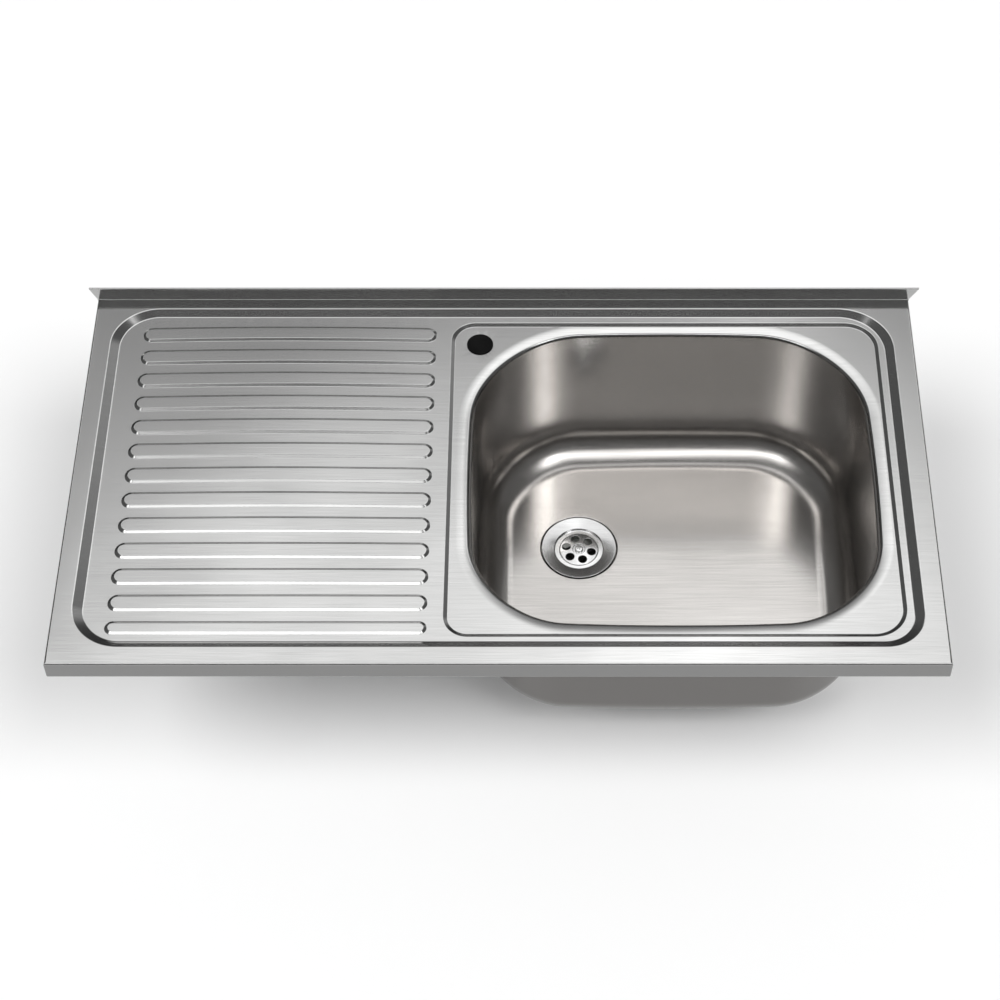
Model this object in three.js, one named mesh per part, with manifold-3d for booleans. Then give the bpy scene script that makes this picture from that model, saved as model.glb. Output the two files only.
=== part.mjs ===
// A sit-on stainless kitchen sink: a pressed deck with a ribbed drainer and a deep-drawn bowl welded under
// its opening, with the strainer waste, the stiffening below the drainer and the hooks for the base unit.
// Millimetres, +X to the right along the front edge, +Y to the wall, +Z up. The origin is in the middle of
// the front seat face, which is the underside of the front return flange.

import * as THREE from "three";
import { mergeVertices } from "three/addons/utils/BufferGeometryUtils.js";
import Module from "manifold-3d";

const wasm = await Module();
wasm.setup();

// ---------------------------------------------------------------- driving dimensions

const gap = 0.3; // between pieces that rest on each other

// Deck: outline, lips and upstand
const sinkLength = 1000;
const sinkDepth = 540;
const sheet = 0.8;
const lipHeight = 26; // from the seat faces to the top of the rim
const seatFlange = 12; // the lips' return flange
const rimBend = 2;
const foldCorner = 1.5; // folded vertical corners of the lips
const upstandHeight = 19; // above the rim
const upstandThickness = 3; // both layers of the folded strip
const upstandFlareLeft = 8.6; // how far the ends spread at the top
const upstandFlareRight = 10.7;

// Deck: pressed tray that holds the drainer and the bowl surround
const rimFront = 22.5;
const rimBack = 19.7;
const rimLeft = 22;
const rimRight = 23.6;
const trayDepth = 5;
const trayRunX = 13; // width of the sloping step, seen from above
const trayRunY = 10;
const trayCorners = { frontRight: 47, backRight: 66, backLeft: 58, frontLeft: 57 };

// Deck: drainer ribs
const ribCount = 13;
const ribPitch = 36.1;
const ribWidth = 19.4; // at half height
const ribHeight = 1.9;
const ribRun = 4.2; // width of the rib's sloping side
const ribLeft = -437;
const ribRight = -82;
const ribFirstMiddle = 49.2; // from the front edge to the middle of the front rib
const frontRibTrim = 5; // the front rib is narrower, to clear the step
const ribBow = 2.5; // the rear rib curves towards the wall, the front one is straight

// Deck: bowl surround and opening
const surroundLeft = -63;
const surroundRight = 457.5;
const surroundFront = 39; // from the front edge
const surroundBack = 501;
const surroundDepth = 2.4;
const surroundRun = 5.5;
const surroundCorners = { frontRight: 40, backRight: 40, backLeft: 30, frontLeft: 28 };
const openingLeft = -33.5;
const openingRight = 434;
const openingFront = 62.5; // from the front edge
const openingBack = 487;
const openingCorner = 119;
const openingBow = 3; // the sides bulge this far outwards
const openingRoll = 4; // radius of the rolled-down edge
const openingCollar = 1; // straight part below the roll

// Tap hole and its plug
const tapX = -27.6;
const tapFromFront = 469.6;
const tapHoleRadius = 14;
const plugHeadRadius = 16;
const plugHeadHeight = 1.4;
const plugSkirtDepth = 9;
const plugWall = 1.6;
const plugSlots = 4;
const plugSlotWidth = 2;

// Bowl
const bowlDepth = 224; // from the rim to the bowl's floor
const bowlShoulder = 2.5; // how far the bowl's wall stands inside the opening
const bowlShoulderRadius = 3;
const bowlFlare = 4.5; // flared edge that is welded to the collar
const bowlDraft = 3;
const bowlFillet = 40;
const dishRadius = 72; // the floor falls to the waste inside this radius
const dishFall = 2.5;
const wasteX = 94.1;
const wasteFromFront = 323.4;
const wasteHoleRadius = 31;
const wasteSeatRadius = 47.6;
const wasteSeatDepth = 5.2;

// Waste: strainer flange
const strainerRadius = 46.5;
const strainerSheet = 1.2;
const strainerRimLift = 0.4; // its edge stands this much above the floor
const strainerCone = 2.3; // fall from the edge to the recess
const recessRadius = 30.6;
const recessDepth = 2.6;
const gridRadius = 24;
const gridDome = 2;
const gridHoles = 6;
const gridHoleRadius = 5.45;
const gridHoleCircle = 16.2;
const gridHoleTurn = 46; // degrees from +X to the first hole
const dimpleRadius = 7.7;
const dimpleDepth = 1.2;
const skirtRadius = 29.4;
const skirtDepth = 9;

// Waste: lower body, seals, screw and insert
const upperSealInner = 32;
const upperSealOuter = 45.3;
const lowerSealInner = 33;
const lowerSealOuter = 43.5;
const lowerSealThickness = 2.5;
const bodyFlangeRadius = 44;
const bodyFlangeThickness = 3;
const bodyRadius = 36;
const bodyWall = 2.8;
const bodyCupDepth = 22;
const bodyTaper = 9;
const outletRadius = 23.9;
const outletBore = 19.5;
const outletLength = 24;
const bossRadius = 8.5;
const bossHeight = 12;
const bossDrop = 8; // from the top of the body to the top of its boss
const webCount = 3;
const webThickness = 2.6;
const screwRadius = 3;
const screwHeadRadius = 5.4;
const screwHeadHeight = 2.4;
const screwOverhang = 3;
const crossWidth = 1.1;
const crossLength = 5.6;
const crossDepth = 1.2;
const insertFlats = 10;
const insertHeight = 5;
const nutWall = 4.2;
const nutEngagement = 13;
const nutLip = 3;
const nutPipeRadius = 20.6;
const nutWings = 8;
const nutWingProud = 2;
const nutWingWidth = 4;
const washerHeight = 4;

// Stiffening and sound deadening
const railsFromLeft = { left: 145, right: 335 };
const railFlange = 14;
const railWeb = 26;
const railDepth = 14;
const railSheet = 1.2;
const railEndClearance = 24; // from the tray's step to the rail's ends
const padThickness = 4;
const padCorner = 12;
const drainerPadClearance = 14; // to the rails
const drainerPadLength = 330;
const bowlPadLeft = 185;
const bowlPadRight = 375;
const bowlPadLength = 250;

// Hooks on the return flange
const clipSheet = 1.5;
const clipWidth = 28;
const clipTab = 9; // rests on the return flange
const clipDrop = 34; // hangs this far below the seat face
const clipSlotWidth = 5.2;
const clipSlotLength = 20;
const clipSlotAngle = 45;
const sideClipSpacing = 280;
const backClipFromLeft = 330;
const backClipFromRight = 250;

// Earth tag inside the back lip
const tagFromLeft = 200;
const tagWidth = 16;
const tagHeight = 12;
const tagLeg = 18;
const tagSheet = 1.5;
const tagFoot = 7; // height of its leg above the seat faces
const earthScrewRadius = 2.5;
const earthScrewLength = 9;
const earthHeadRadius = 4.6;
const earthHeadHeight = 3;

// Facets
const cornerSteps = 8;
const sideSteps = 3;
const arcSteps = 4;
const filletSteps = 6;
const ribEndSteps = 5;
const roundSegments = 32;
const hiddenSegments = 24;
const smallSegments = 16;

// ---------------------------------------------------------------- derived places

const frontY = -seatFlange / 2;
const backY = frontY + sinkDepth;
const rightX = sinkLength / 2;
const leftX = -rightX;
const rimTop = lipHeight;
const drainerTop = rimTop - trayDepth;
const surroundTop = drainerTop - surroundDepth;
const collarBottom = surroundTop - openingRoll - openingCollar;
const bowlTop = collarBottom - gap;
const floorTop = rimTop - bowlDepth;
const floorLow = floorTop - dishFall;
const wasteSeat = floorLow - wasteSeatDepth;
const wasteY = frontY + wasteFromFront;
const tapY = frontY + tapFromFront;
const above = 6; // cutters reach this far past what they cut

const steel = { color: 0xb9b8b4, roughness: 0.35, metalness: 1 };
const polished = { color: 0xcfcfcd, roughness: 0.2, metalness: 1 };
const zinc = { color: 0xa9adb0, roughness: 0.45, metalness: 1 };
const brass = { color: 0xb5923f, roughness: 0.35, metalness: 1 };
const rubber = { color: 0x1c1c1d, roughness: 0.8, metalness: 0 };
const blackPlastic = { color: 0x0b0b0c, roughness: 0.5, metalness: 0 };
const whitePlastic = { color: 0xe4e4df, roughness: 0.45, metalness: 0 };
const deadening = { color: 0x2d2e30, roughness: 0.9, metalness: 0 };

// ---------------------------------------------------------------- solids

const turn = (degrees) => THREE.MathUtils.degToRad(degrees);

function toSolid(geometry) {
  const bare = geometry.index ? geometry.toNonIndexed() : geometry.clone();
  bare.deleteAttribute("normal");
  bare.deleteAttribute("uv");
  const merged = mergeVertices(bare, 1e-4);
  const vertProperties = merged.attributes.position.array;
  const triVerts = new Uint32Array(merged.index.array);
  return new wasm.Manifold(new wasm.Mesh({ numProp: 3, vertProperties, triVerts }));
}

function toMesh(name, solid, finish) {
  const { vertProperties, triVerts } = solid.getMesh();
  const geometry = new THREE.BufferGeometry();
  geometry.setAttribute("position", new THREE.BufferAttribute(vertProperties, 3));
  geometry.setIndex(new THREE.BufferAttribute(triVerts, 1));
  const flat = geometry.toNonIndexed();
  flat.computeVertexNormals();
  const mesh = new THREE.Mesh(flat, new THREE.MeshStandardMaterial(finish));
  mesh.name = name;
  return mesh;
}

// A rectangle with rounded corners, seen from above, made larger by dx and dy (smaller where negative).
function grow(shape, dx, dy = dx) {
  const { left, right, front, back, corners, ...rest } = shape;
  const resize = (radius) => Math.max(radius + (dx + dy) / 2, 0.2);
  return {
    left: left - dx,
    right: right + dx,
    front: front - dy,
    back: back + dy,
    corners: {
      frontRight: resize(corners.frontRight),
      backRight: resize(corners.backRight),
      backLeft: resize(corners.backLeft),
      frontLeft: resize(corners.frontLeft),
    },
    ...rest,
  };
}

const evenCorners = (radius) => ({
  frontRight: radius,
  backRight: radius,
  backLeft: radius,
  frontLeft: radius,
});

// The points of such a shape, anticlockwise. Sides with a bow get extra points and bulge outwards.
function outline(shape) {
  const { left, right, front, back, corners, bow = 0 } = shape;
  const { frontRight, backRight, backLeft, frontLeft } = corners;
  const arcs = [
    { x: right - frontRight, y: front + frontRight, radius: frontRight, from: -90 },
    { x: right - backRight, y: back - backRight, radius: backRight, from: 0 },
    { x: left + backLeft, y: back - backLeft, radius: backLeft, from: 90 },
    { x: left + frontLeft, y: front + frontLeft, radius: frontLeft, from: 180 },
  ];
  const points = [];
  for (const arc of arcs) {
    const start = new THREE.Vector2(arc.x, arc.y);
    start.x += arc.radius * Math.cos(turn(arc.from));
    start.y += arc.radius * Math.sin(turn(arc.from));
    if (bow && points.length) addSide(points, points[points.length - 1], start);
    for (let i = 0; i <= cornerSteps; i++) {
      const angle = turn(arc.from + (90 * i) / cornerSteps);
      points.push(
        new THREE.Vector2(arc.x + arc.radius * Math.cos(angle), arc.y + arc.radius * Math.sin(angle)),
      );
    }
  }
  if (bow) addSide(points, points[points.length - 1], points[0]);
  const centre = new THREE.Vector2((left + right) / 2, (front + back) / 2);
  const half = new THREE.Vector2((right - left) / 2, (back - front) / 2);
  return points.map((p) => {
    const u = (p.x - centre.x) / half.x;
    const v = (p.y - centre.y) / half.y;
    return new THREE.Vector2(p.x + bow * u * (1 - v * v), p.y + bow * v * (1 - u * u));
  });
}

function addSide(points, from, to) {
  for (let i = 1; i < sideSteps; i++) points.push(from.clone().lerp(to, i / sideSteps));
}

const rectangle = (left, right, front, back) => [
  new THREE.Vector2(left, front),
  new THREE.Vector2(right, front),
  new THREE.Vector2(right, back),
  new THREE.Vector2(left, back),
];

// A rib's outline: straight sides and round ends, its middle line bowed towards the wall.
function ribOutline({ left, right, middle, halfWidth, bow }) {
  const length = right - left;
  const points = [];
  const put = (x, y) => {
    const u = (2 * (x - left)) / length - 1;
    points.push(new THREE.Vector2(x, y + bow * (1 - u * u)));
  };
  for (const [endX, from] of [
    [right - halfWidth, -90],
    [left + halfWidth, 90],
  ]) {
    for (let i = 0; i <= ribEndSteps; i++) {
      const angle = turn(from + (180 * i) / ribEndSteps);
      put(endX + halfWidth * Math.cos(angle), middle + halfWidth * Math.sin(angle));
    }
    const side = from < 0 ? 1 : -1;
    const startX = from < 0 ? right - halfWidth : left + halfWidth;
    const stopX = from < 0 ? left + halfWidth : right - halfWidth;
    for (let i = 1; i < sideSteps; i++) {
      put(THREE.MathUtils.lerp(startX, stopX, i / sideSteps), middle + side * halfWidth);
    }
  }
  return points;
}

// A closed solid through sections of { points, z }, listed from the lowest to the highest.
function loft(sections) {
  const count = sections[0].points.length;
  const position = sections.flatMap(({ points, z }) => points.flatMap((p) => [p.x, p.y, z]));
  const index = [];
  for (let level = 0; level < sections.length - 1; level++) {
    const low = level * count;
    const high = low + count;
    for (let i = 0; i < count; i++) {
      const next = (i + 1) % count;
      index.push(low + i, low + next, high + next, low + i, high + next, high + i);
    }
  }
  const last = (sections.length - 1) * count;
  const cap = (level) => THREE.ShapeUtils.triangulateShape(sections[level].points, []);
  for (const [a, b, c] of cap(0)) index.push(a, c, b);
  for (const [a, b, c] of cap(sections.length - 1)) index.push(last + a, last + b, last + c);
  const geometry = new THREE.BufferGeometry();
  geometry.setAttribute("position", new THREE.Float32BufferAttribute(position, 3));
  geometry.setIndex(index);
  return toSolid(geometry);
}

const section = (shape, z) => ({ points: outline(shape), z });

// A solid of revolution about +Z from [radius, height] pairs.
function revolve(profile, segments = roundSegments) {
  const points = profile.map(([radius, z]) => new THREE.Vector2(radius, z));
  if (THREE.ShapeUtils.area(points) < 0) points.reverse();
  const onAxis = points[0].x === 0 && points[points.length - 1].x === 0;
  if (!onAxis) points.push(points[0].clone());
  return toSolid(new THREE.LatheGeometry(points, segments).rotateX(Math.PI / 2));
}

function cylinder(radius, low, high, segments = roundSegments) {
  return revolve(
    [
      [0, low],
      [radius, low],
      [radius, high],
      [0, high],
    ],
    segments,
  );
}

function box(x0, x1, y0, y1, z0, z1) {
  const geometry = new THREE.BoxGeometry(x1 - x0, y1 - y0, z1 - z0);
  return toSolid(geometry.translate((x0 + x1) / 2, (y0 + y1) / 2, (z0 + z1) / 2));
}

function extrude(points, depth) {
  return toSolid(new THREE.ExtrudeGeometry(new THREE.Shape(points), { depth, bevelEnabled: false }));
}

// Quarter circle as [sine, cosine] pairs, from 0 to 90 degrees.
const quarter = (steps) =>
  Array.from({ length: steps + 1 }, (_, i) => {
    const angle = ((Math.PI / 2) * i) / steps;
    return [Math.sin(angle), Math.cos(angle)];
  });

// Across and down, as shares, of a pressed step with softened edges.
const stepProfile = [
  [0, 0],
  [0.16, 0.05],
  [0.84, 0.95],
  [1, 1],
];

// How far a step's lines move sideways on a face that lies `depth` below the visible one.
const bendShift = (rise, run, depth) => depth * Math.tan(Math.atan2(rise, run) / 2);

// ---------------------------------------------------------------- deck

const rimShape = {
  left: leftX,
  right: rightX,
  front: frontY,
  back: backY,
  corners: evenCorners(foldCorner),
};

const trayShape = {
  left: leftX + rimLeft,
  right: rightX - rimRight,
  front: frontY + rimFront,
  back: backY - rimBack,
  corners: trayCorners,
};

const surroundShape = {
  left: surroundLeft,
  right: surroundRight,
  front: frontY + surroundFront,
  back: frontY + surroundBack,
  corners: surroundCorners,
};

const openingShape = {
  left: openingLeft,
  right: openingRight,
  front: frontY + openingFront,
  back: frontY + openingBack,
  corners: evenCorners(openingCorner),
  bow: openingBow,
};

// Each form below is the solid under one face of the sheet: the visible face where depth is 0, and the
// hidden one where depth is the sheet's thickness. The deck is the first less the second.

function rimForm(depth) {
  const base = grow(rimShape, -depth);
  const radius = rimBend - depth;
  const bend = quarter(arcSteps).map(([sine, cosine]) =>
    section(grow(base, -radius * (1 - cosine)), rimTop - depth - radius * (1 - sine)),
  );
  return loft([section(base, depth), ...bend]);
}

function upstandForm(depth) {
  const top = rimTop + upstandHeight - depth;
  const round = upstandThickness / 2 - depth - 0.1;
  const strip = (z, inset) => {
    const rise = Math.max(z - rimTop, 0) / upstandHeight;
    const left = leftX + depth - rise * upstandFlareLeft;
    const right = rightX - depth + rise * upstandFlareRight;
    const front = backY - upstandThickness + depth + inset;
    return { points: rectangle(left, right, front, backY - depth - inset), z };
  };
  const foot = rimTop - rimBend - 1;
  const fold = quarter(arcSteps).map(([sine, cosine]) =>
    strip(top - round * (1 - sine), round * (1 - cosine)),
  );
  return loft([strip(foot, 0), strip(rimTop, 0), ...fold]);
}

function recessForm(shape, top, fall, runX, runY, depth) {
  const spreadX = bendShift(fall, runX, depth);
  const spreadY = bendShift(fall, runY, depth);
  const slope = stepProfile.map(([across, down]) =>
    section(grow(shape, spreadX - runX * across, spreadY - runY * across), top - depth - fall * down),
  );
  return loft([...slope.reverse(), section(grow(shape, spreadX, spreadY), top + above)]);
}

function ribForm(index, depth) {
  const trim = index === 0 ? frontRibTrim : 0;
  const inset = bendShift(ribHeight, ribRun, depth);
  const rib = (across, z) => {
    const reach = ribRun / 2 - ribRun * across - inset;
    return {
      points: ribOutline({
        left: ribLeft - reach,
        right: ribRight + reach,
        middle: frontY + ribFirstMiddle + index * ribPitch + trim / 2,
        halfWidth: (ribWidth - trim) / 2 + reach,
        bow: (ribBow * index) / (ribCount - 1),
      }),
      z,
    };
  };
  const base = drainerTop - depth;
  return loft([rib(0, base - 1), rib(0, base), rib(0.75, base + 0.8 * ribHeight), rib(1, base + ribHeight)]);
}

function openingForm(depth, bottom) {
  const radius = openingRoll - depth;
  const roll = quarter(arcSteps).map(([sine, cosine]) =>
    section(
      grow(openingShape, openingRoll - radius * sine),
      surroundTop - openingRoll + radius * cosine,
    ),
  );
  const side = grow(openingShape, depth);
  const mouth = section(grow(openingShape, openingRoll), surroundTop + above);
  return loft([section(side, bottom), ...roll.reverse(), mouth]);
}

function deckForm(depth) {
  let form = rimForm(depth).add(upstandForm(depth));
  form = form.subtract(recessForm(trayShape, rimTop, trayDepth, trayRunX, trayRunY, depth));
  for (let i = 0; i < ribCount; i++) form = form.add(ribForm(i, depth));
  const run = surroundRun;
  form = form.subtract(recessForm(surroundShape, drainerTop, surroundDepth, run, run, depth));
  return form.subtract(openingForm(depth, depth ? collarBottom : -above));
}

function makeDeck() {
  const window = loft([
    section(grow(rimShape, -seatFlange), -above),
    section(grow(rimShape, -seatFlange), sheet + above / 2),
  ]);
  const tapHole = cylinder(tapHoleRadius, 0, rimTop).translate(tapX, tapY, 0);
  return deckForm(0).subtract(deckForm(sheet)).subtract(window).subtract(tapHole);
}

// ---------------------------------------------------------------- bowl

const wallShape = grow(openingShape, -bowlShoulder);

function bowlForm(depth) {
  const fillet = quarter(filletSteps).map(([sine, cosine]) =>
    section(
      grow(wallShape, -bowlDraft - bowlFillet + (bowlFillet + depth) * cosine),
      floorTop + bowlFillet - (bowlFillet + depth) * sine,
    ),
  );
  const radius = bowlShoulderRadius - depth;
  const shoulder = quarter(arcSteps - 1).map(([sine, cosine]) =>
    section(
      grow(wallShape, bowlShoulderRadius - radius * sine),
      bowlTop - bowlShoulderRadius + radius * cosine,
    ),
  );
  const mouth = section(grow(wallShape, bowlShoulderRadius), depth ? bowlTop - depth / 2 : bowlTop + 1);
  const walls = loft([...fillet.reverse(), ...shoulder.reverse(), mouth]);
  const seat = wasteSeat - depth;
  const dish = revolve([
    [0, seat],
    [wasteSeatRadius + depth, seat],
    [wasteSeatRadius + depth, floorLow - depth],
    [dishRadius, floorTop - depth],
    [dishRadius, floorTop - depth + 1],
    [0, floorTop - depth + 1],
  ]);
  return walls.add(dish.translate(wasteX, wasteY, 0));
}

function makeBowl() {
  const flare = loft([
    section(grow(wallShape, bowlFlare), bowlTop - sheet),
    section(grow(wallShape, bowlFlare), bowlTop),
  ]);
  const hole = cylinder(wasteHoleRadius, wasteSeat - above, floorTop).translate(wasteX, wasteY, 0);
  return bowlForm(sheet).add(flare).subtract(bowlForm(0)).subtract(hole);
}

// ---------------------------------------------------------------- waste, heights from the bowl's low floor

const coneInner = recessRadius;
const recessTop = strainerRimLift - strainerCone;
const recessFloor = recessTop - recessDepth;
const gridTop = recessFloor + gridDome;
const gridLow = (radius) => recessFloor + gridDome * (1 - (radius / gridRadius) ** 2);
const screwSeat = gridTop - dimpleDepth;
const bodyTop = -wasteSeatDepth - sheet - 2 * gap - lowerSealThickness;
const bossTop = bodyTop - bossDrop;
const bossBottom = bossTop - bossHeight;
const insertTop = bossBottom + insertHeight + gap;
const screwTip = insertTop - insertHeight - screwOverhang;
const outletTop = bodyTop - bodyCupDepth - bodyTaper;
const outletEnd = outletTop - outletLength;
const coneTop = (radius) =>
  strainerRimLift - (strainerCone * (strainerRadius - radius)) / (strainerRadius - coneInner);

function makeStrainer() {
  const thick = strainerSheet;
  const dome = [gridRadius, 16, dimpleRadius].map((radius) => [radius, gridLow(radius)]);
  const under = dome.map(([radius, z]) => [radius, z - thick]).reverse();
  const flange = revolve([
    [strainerRadius, strainerRimLift],
    [coneInner + 1, recessTop + 0.15],
    [coneInner, recessTop - 0.3],
    [coneInner - 0.6, recessFloor + 0.4],
    [coneInner - 1.4, recessFloor],
    ...dome,
    [dimpleRadius - 0.9, screwSeat],
    [screwRadius + gap, screwSeat],
    [screwRadius + gap, screwSeat - thick],
    [dimpleRadius, screwSeat - thick],
    ...under,
    [skirtRadius - thick, recessFloor - thick],
    [skirtRadius - thick, recessFloor - skirtDepth],
    [skirtRadius, recessFloor - skirtDepth],
    [skirtRadius, recessFloor - thick],
    [coneInner, recessTop - thick - 1],
    [coneInner + 1.5, coneTop(coneInner + 1.5) - thick],
    [strainerRadius - thick, coneTop(strainerRadius - thick) - thick],
    [strainerRadius - thick, strainerRimLift - 2 * thick],
    [strainerRadius, strainerRimLift - 2 * thick],
  ]);
  let grid = flange;
  for (let i = 0; i < gridHoles; i++) {
    const angle = turn(gridHoleTurn + (360 * i) / gridHoles);
    const hole = cylinder(gridHoleRadius, recessFloor - skirtDepth, gridTop + 1, smallSegments);
    grid = grid.subtract(
      hole.translate(gridHoleCircle * Math.cos(angle), gridHoleCircle * Math.sin(angle), 0),
    );
  }
  return grid;
}

function makeUpperSeal() {
  const under = (radius) => coneTop(radius) - strainerSheet - gap;
  const outer = Math.min(upperSealOuter, strainerRadius - strainerSheet - gap);
  return revolve(
    [
      [upperSealInner, gap - wasteSeatDepth],
      [outer, gap - wasteSeatDepth],
      [outer, under(outer)],
      [upperSealInner, under(upperSealInner)],
    ],
    hiddenSegments,
  );
}

function makeLowerSeal() {
  const top = -wasteSeatDepth - sheet - gap;
  return revolve(
    [
      [lowerSealInner, top],
      [lowerSealInner, top - lowerSealThickness],
      [lowerSealOuter, top - lowerSealThickness],
      [lowerSealOuter, top],
    ],
    hiddenSegments,
  );
}

function makeWasteBody() {
  const bore = bodyRadius - bodyWall;
  const cupEnd = bodyTop - bodyCupDepth;
  const cup = revolve(
    [
      [bodyFlangeRadius, bodyTop],
      [bore, bodyTop],
      [bore, cupEnd + bodyWall],
      [outletBore, outletTop + bodyWall],
      [outletBore, outletEnd],
      [outletRadius, outletEnd],
      [outletRadius, outletTop],
      [bodyRadius, cupEnd],
      [bodyRadius, bodyTop - 2 * bodyFlangeThickness],
      [bodyRadius + bodyFlangeThickness, bodyTop - bodyFlangeThickness],
      [bodyFlangeRadius, bodyTop - bodyFlangeThickness],
    ],
    hiddenSegments,
  );
  let body = cup.add(cylinder(bossRadius, bossBottom, bossTop, smallSegments));
  for (let i = 0; i < webCount; i++) {
    const half = webThickness / 2;
    const web = box(0, bore + bodyWall / 2, -half, half, bossBottom, bossTop);
    body = body.add(web.rotate([0, 0, (360 * i) / webCount + 30]));
  }
  const pocket = revolve(
    [
      [0, bossBottom - 1],
      [insertFlats / Math.sqrt(3) + gap, bossBottom - 1],
      [insertFlats / Math.sqrt(3) + gap, insertTop + gap],
      [0, insertTop + gap],
    ],
    6,
  );
  const screwHole = cylinder(screwRadius + gap, bossBottom - 1, bossTop + 1, smallSegments);
  return body.subtract(pocket).subtract(screwHole);
}

function makeInsert() {
  const corner = insertFlats / Math.sqrt(3);
  const hexagon = revolve(
    [
      [0, insertTop - insertHeight],
      [corner, insertTop - insertHeight],
      [corner, insertTop],
      [0, insertTop],
    ],
    6,
  );
  const bore = cylinder(screwRadius + gap, insertTop - insertHeight - 1, insertTop + 1, smallSegments);
  return hexagon.subtract(bore);
}

function makeWasteScrew() {
  const seat = screwSeat + gap;
  const top = seat + screwHeadHeight;
  const screw = revolve(
    [
      [0, screwTip],
      [screwRadius - 0.6, screwTip],
      [screwRadius, screwTip + 0.8],
      [screwRadius, seat],
      [screwHeadRadius, seat],
      [screwHeadRadius, seat + 0.45 * screwHeadHeight],
      [0.75 * screwHeadRadius, top - 0.2],
      [0.4 * screwHeadRadius, top],
      [0, top],
    ],
    smallSegments,
  );
  const long = crossLength / 2;
  const wide = crossWidth / 2;
  const bottom = top - crossDepth;
  const cross = box(-long, long, -wide, wide, bottom, top + 1).add(
    box(-wide, wide, -long, long, bottom, top + 1),
  );
  return screw.subtract(cross.rotate([0, 0, 20]));
}

const nutBore = outletRadius + gap;
const nutRadius = nutBore + nutWall;
const nutBottom = outletEnd - 2 * gap - washerHeight - nutLip;

function makeOutletNut() {
  let nut = revolve(
    [
      [nutPipeRadius, nutBottom],
      [nutRadius - 1, nutBottom],
      [nutRadius, nutBottom + 1],
      [nutRadius, outletEnd + nutEngagement - 1],
      [nutRadius - 1, outletEnd + nutEngagement],
      [nutBore, outletEnd + nutEngagement],
      [nutBore, nutBottom + nutLip],
      [nutPipeRadius, nutBottom + nutLip],
    ],
    hiddenSegments,
  );
  const wingTop = outletEnd + nutEngagement - 1.5;
  for (let i = 0; i < nutWings; i++) {
    const half = nutWingWidth / 2;
    const wing = box(nutRadius - 1.5, nutRadius + nutWingProud, -half, half, nutBottom + 1.5, wingTop);
    nut = nut.add(wing.rotate([0, 0, (360 * i) / nutWings]));
  }
  return nut;
}

function makeOutletWasher() {
  const low = nutBottom + nutLip + gap;
  const high = low + washerHeight;
  return revolve(
    [
      [nutPipeRadius, low],
      [nutBore - gap, low],
      [nutBore - gap, high - 1.2],
      [nutPipeRadius + 1, high],
      [nutPipeRadius, high],
    ],
    hiddenSegments,
  );
}

// ---------------------------------------------------------------- plug for the tap hole

function makePlug() {
  const seat = surroundTop + gap;
  const skirt = tapHoleRadius - gap;
  const bottom = seat - plugSkirtDepth;
  let plug = revolve(
    [
      [0, seat + plugHeadHeight],
      [plugHeadRadius - 1, seat + plugHeadHeight],
      [plugHeadRadius, seat + plugHeadHeight / 2],
      [plugHeadRadius, seat],
      [skirt, seat],
      [skirt, bottom + 1],
      [skirt - 0.7, bottom],
      [skirt - plugWall, bottom],
      [skirt - plugWall, seat - plugWall],
      [0, seat - plugWall],
    ],
    roundSegments,
  );
  const half = plugSlotWidth / 2;
  for (let i = 0; i < plugSlots; i++) {
    const slot = box(skirt / 2, skirt + 1, -half, half, bottom - 1, seat - 2 * plugWall);
    plug = plug.subtract(slot.rotate([0, 0, 45 + (360 * i) / plugSlots]));
  }
  return plug;
}

// ---------------------------------------------------------------- stiffening and sound deadening

const drainerUnder = drainerTop - sheet - gap;
const trayFrontFoot = trayShape.front + trayRunY;
const trayBackFoot = trayShape.back - trayRunY;

function makeRail(x) {
  const half = railWeb / 2;
  const wide = half + railFlange;
  const t = railSheet;
  const profile = [
    [-wide, 0],
    [-wide, -t],
    [-half, -t],
    [-half, -railDepth],
    [half, -railDepth],
    [half, -t],
    [wide, -t],
    [wide, 0],
    [half - t, 0],
    [half - t, -railDepth + t],
    [-half + t, -railDepth + t],
    [-half + t, 0],
  ].map(([px, pz]) => new THREE.Vector2(px, pz));
  const front = trayFrontFoot + railEndClearance;
  const back = trayBackFoot - railEndClearance;
  return extrude(profile, back - front).rotate([90, 0, 0]).translate(x, back, drainerUnder);
}

function makePad(left, right, middle, length, top) {
  const shape = {
    left,
    right,
    front: middle - length / 2,
    back: middle + length / 2,
    corners: evenCorners(padCorner),
  };
  return loft([section(shape, top - padThickness), section(shape, top)]);
}

// ---------------------------------------------------------------- hooks and earth tag

// The hook's tab lies on the return flange and its plate hangs inside it. Along +X, plate facing -Y.
function makeClip() {
  const half = clipWidth / 2;
  const tabLow = sheet + gap;
  const plate = box(-half, half, gap, gap + clipSheet, -clipDrop, tabLow + clipSheet);
  const tab = box(-half, half, gap - clipTab, gap + clipSheet, tabLow, tabLow + clipSheet);
  const reach = (clipSlotLength - clipSlotWidth) / 2;
  const slot = new THREE.Shape();
  slot.absarc(reach, 0, clipSlotWidth / 2, -Math.PI / 2, Math.PI / 2, false);
  slot.absarc(-reach, 0, clipSlotWidth / 2, Math.PI / 2, (3 * Math.PI) / 2, false);
  const slotSolid = extrude(slot.getPoints(6).slice(0, -1), clipSheet + 2)
    .rotate([0, 0, clipSlotAngle])
    .rotate([90, 0, 0])
    .translate(0, gap + clipSheet + 1, -clipDrop / 2 - 2);
  return plate.add(tab).subtract(slotSolid);
}

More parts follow.
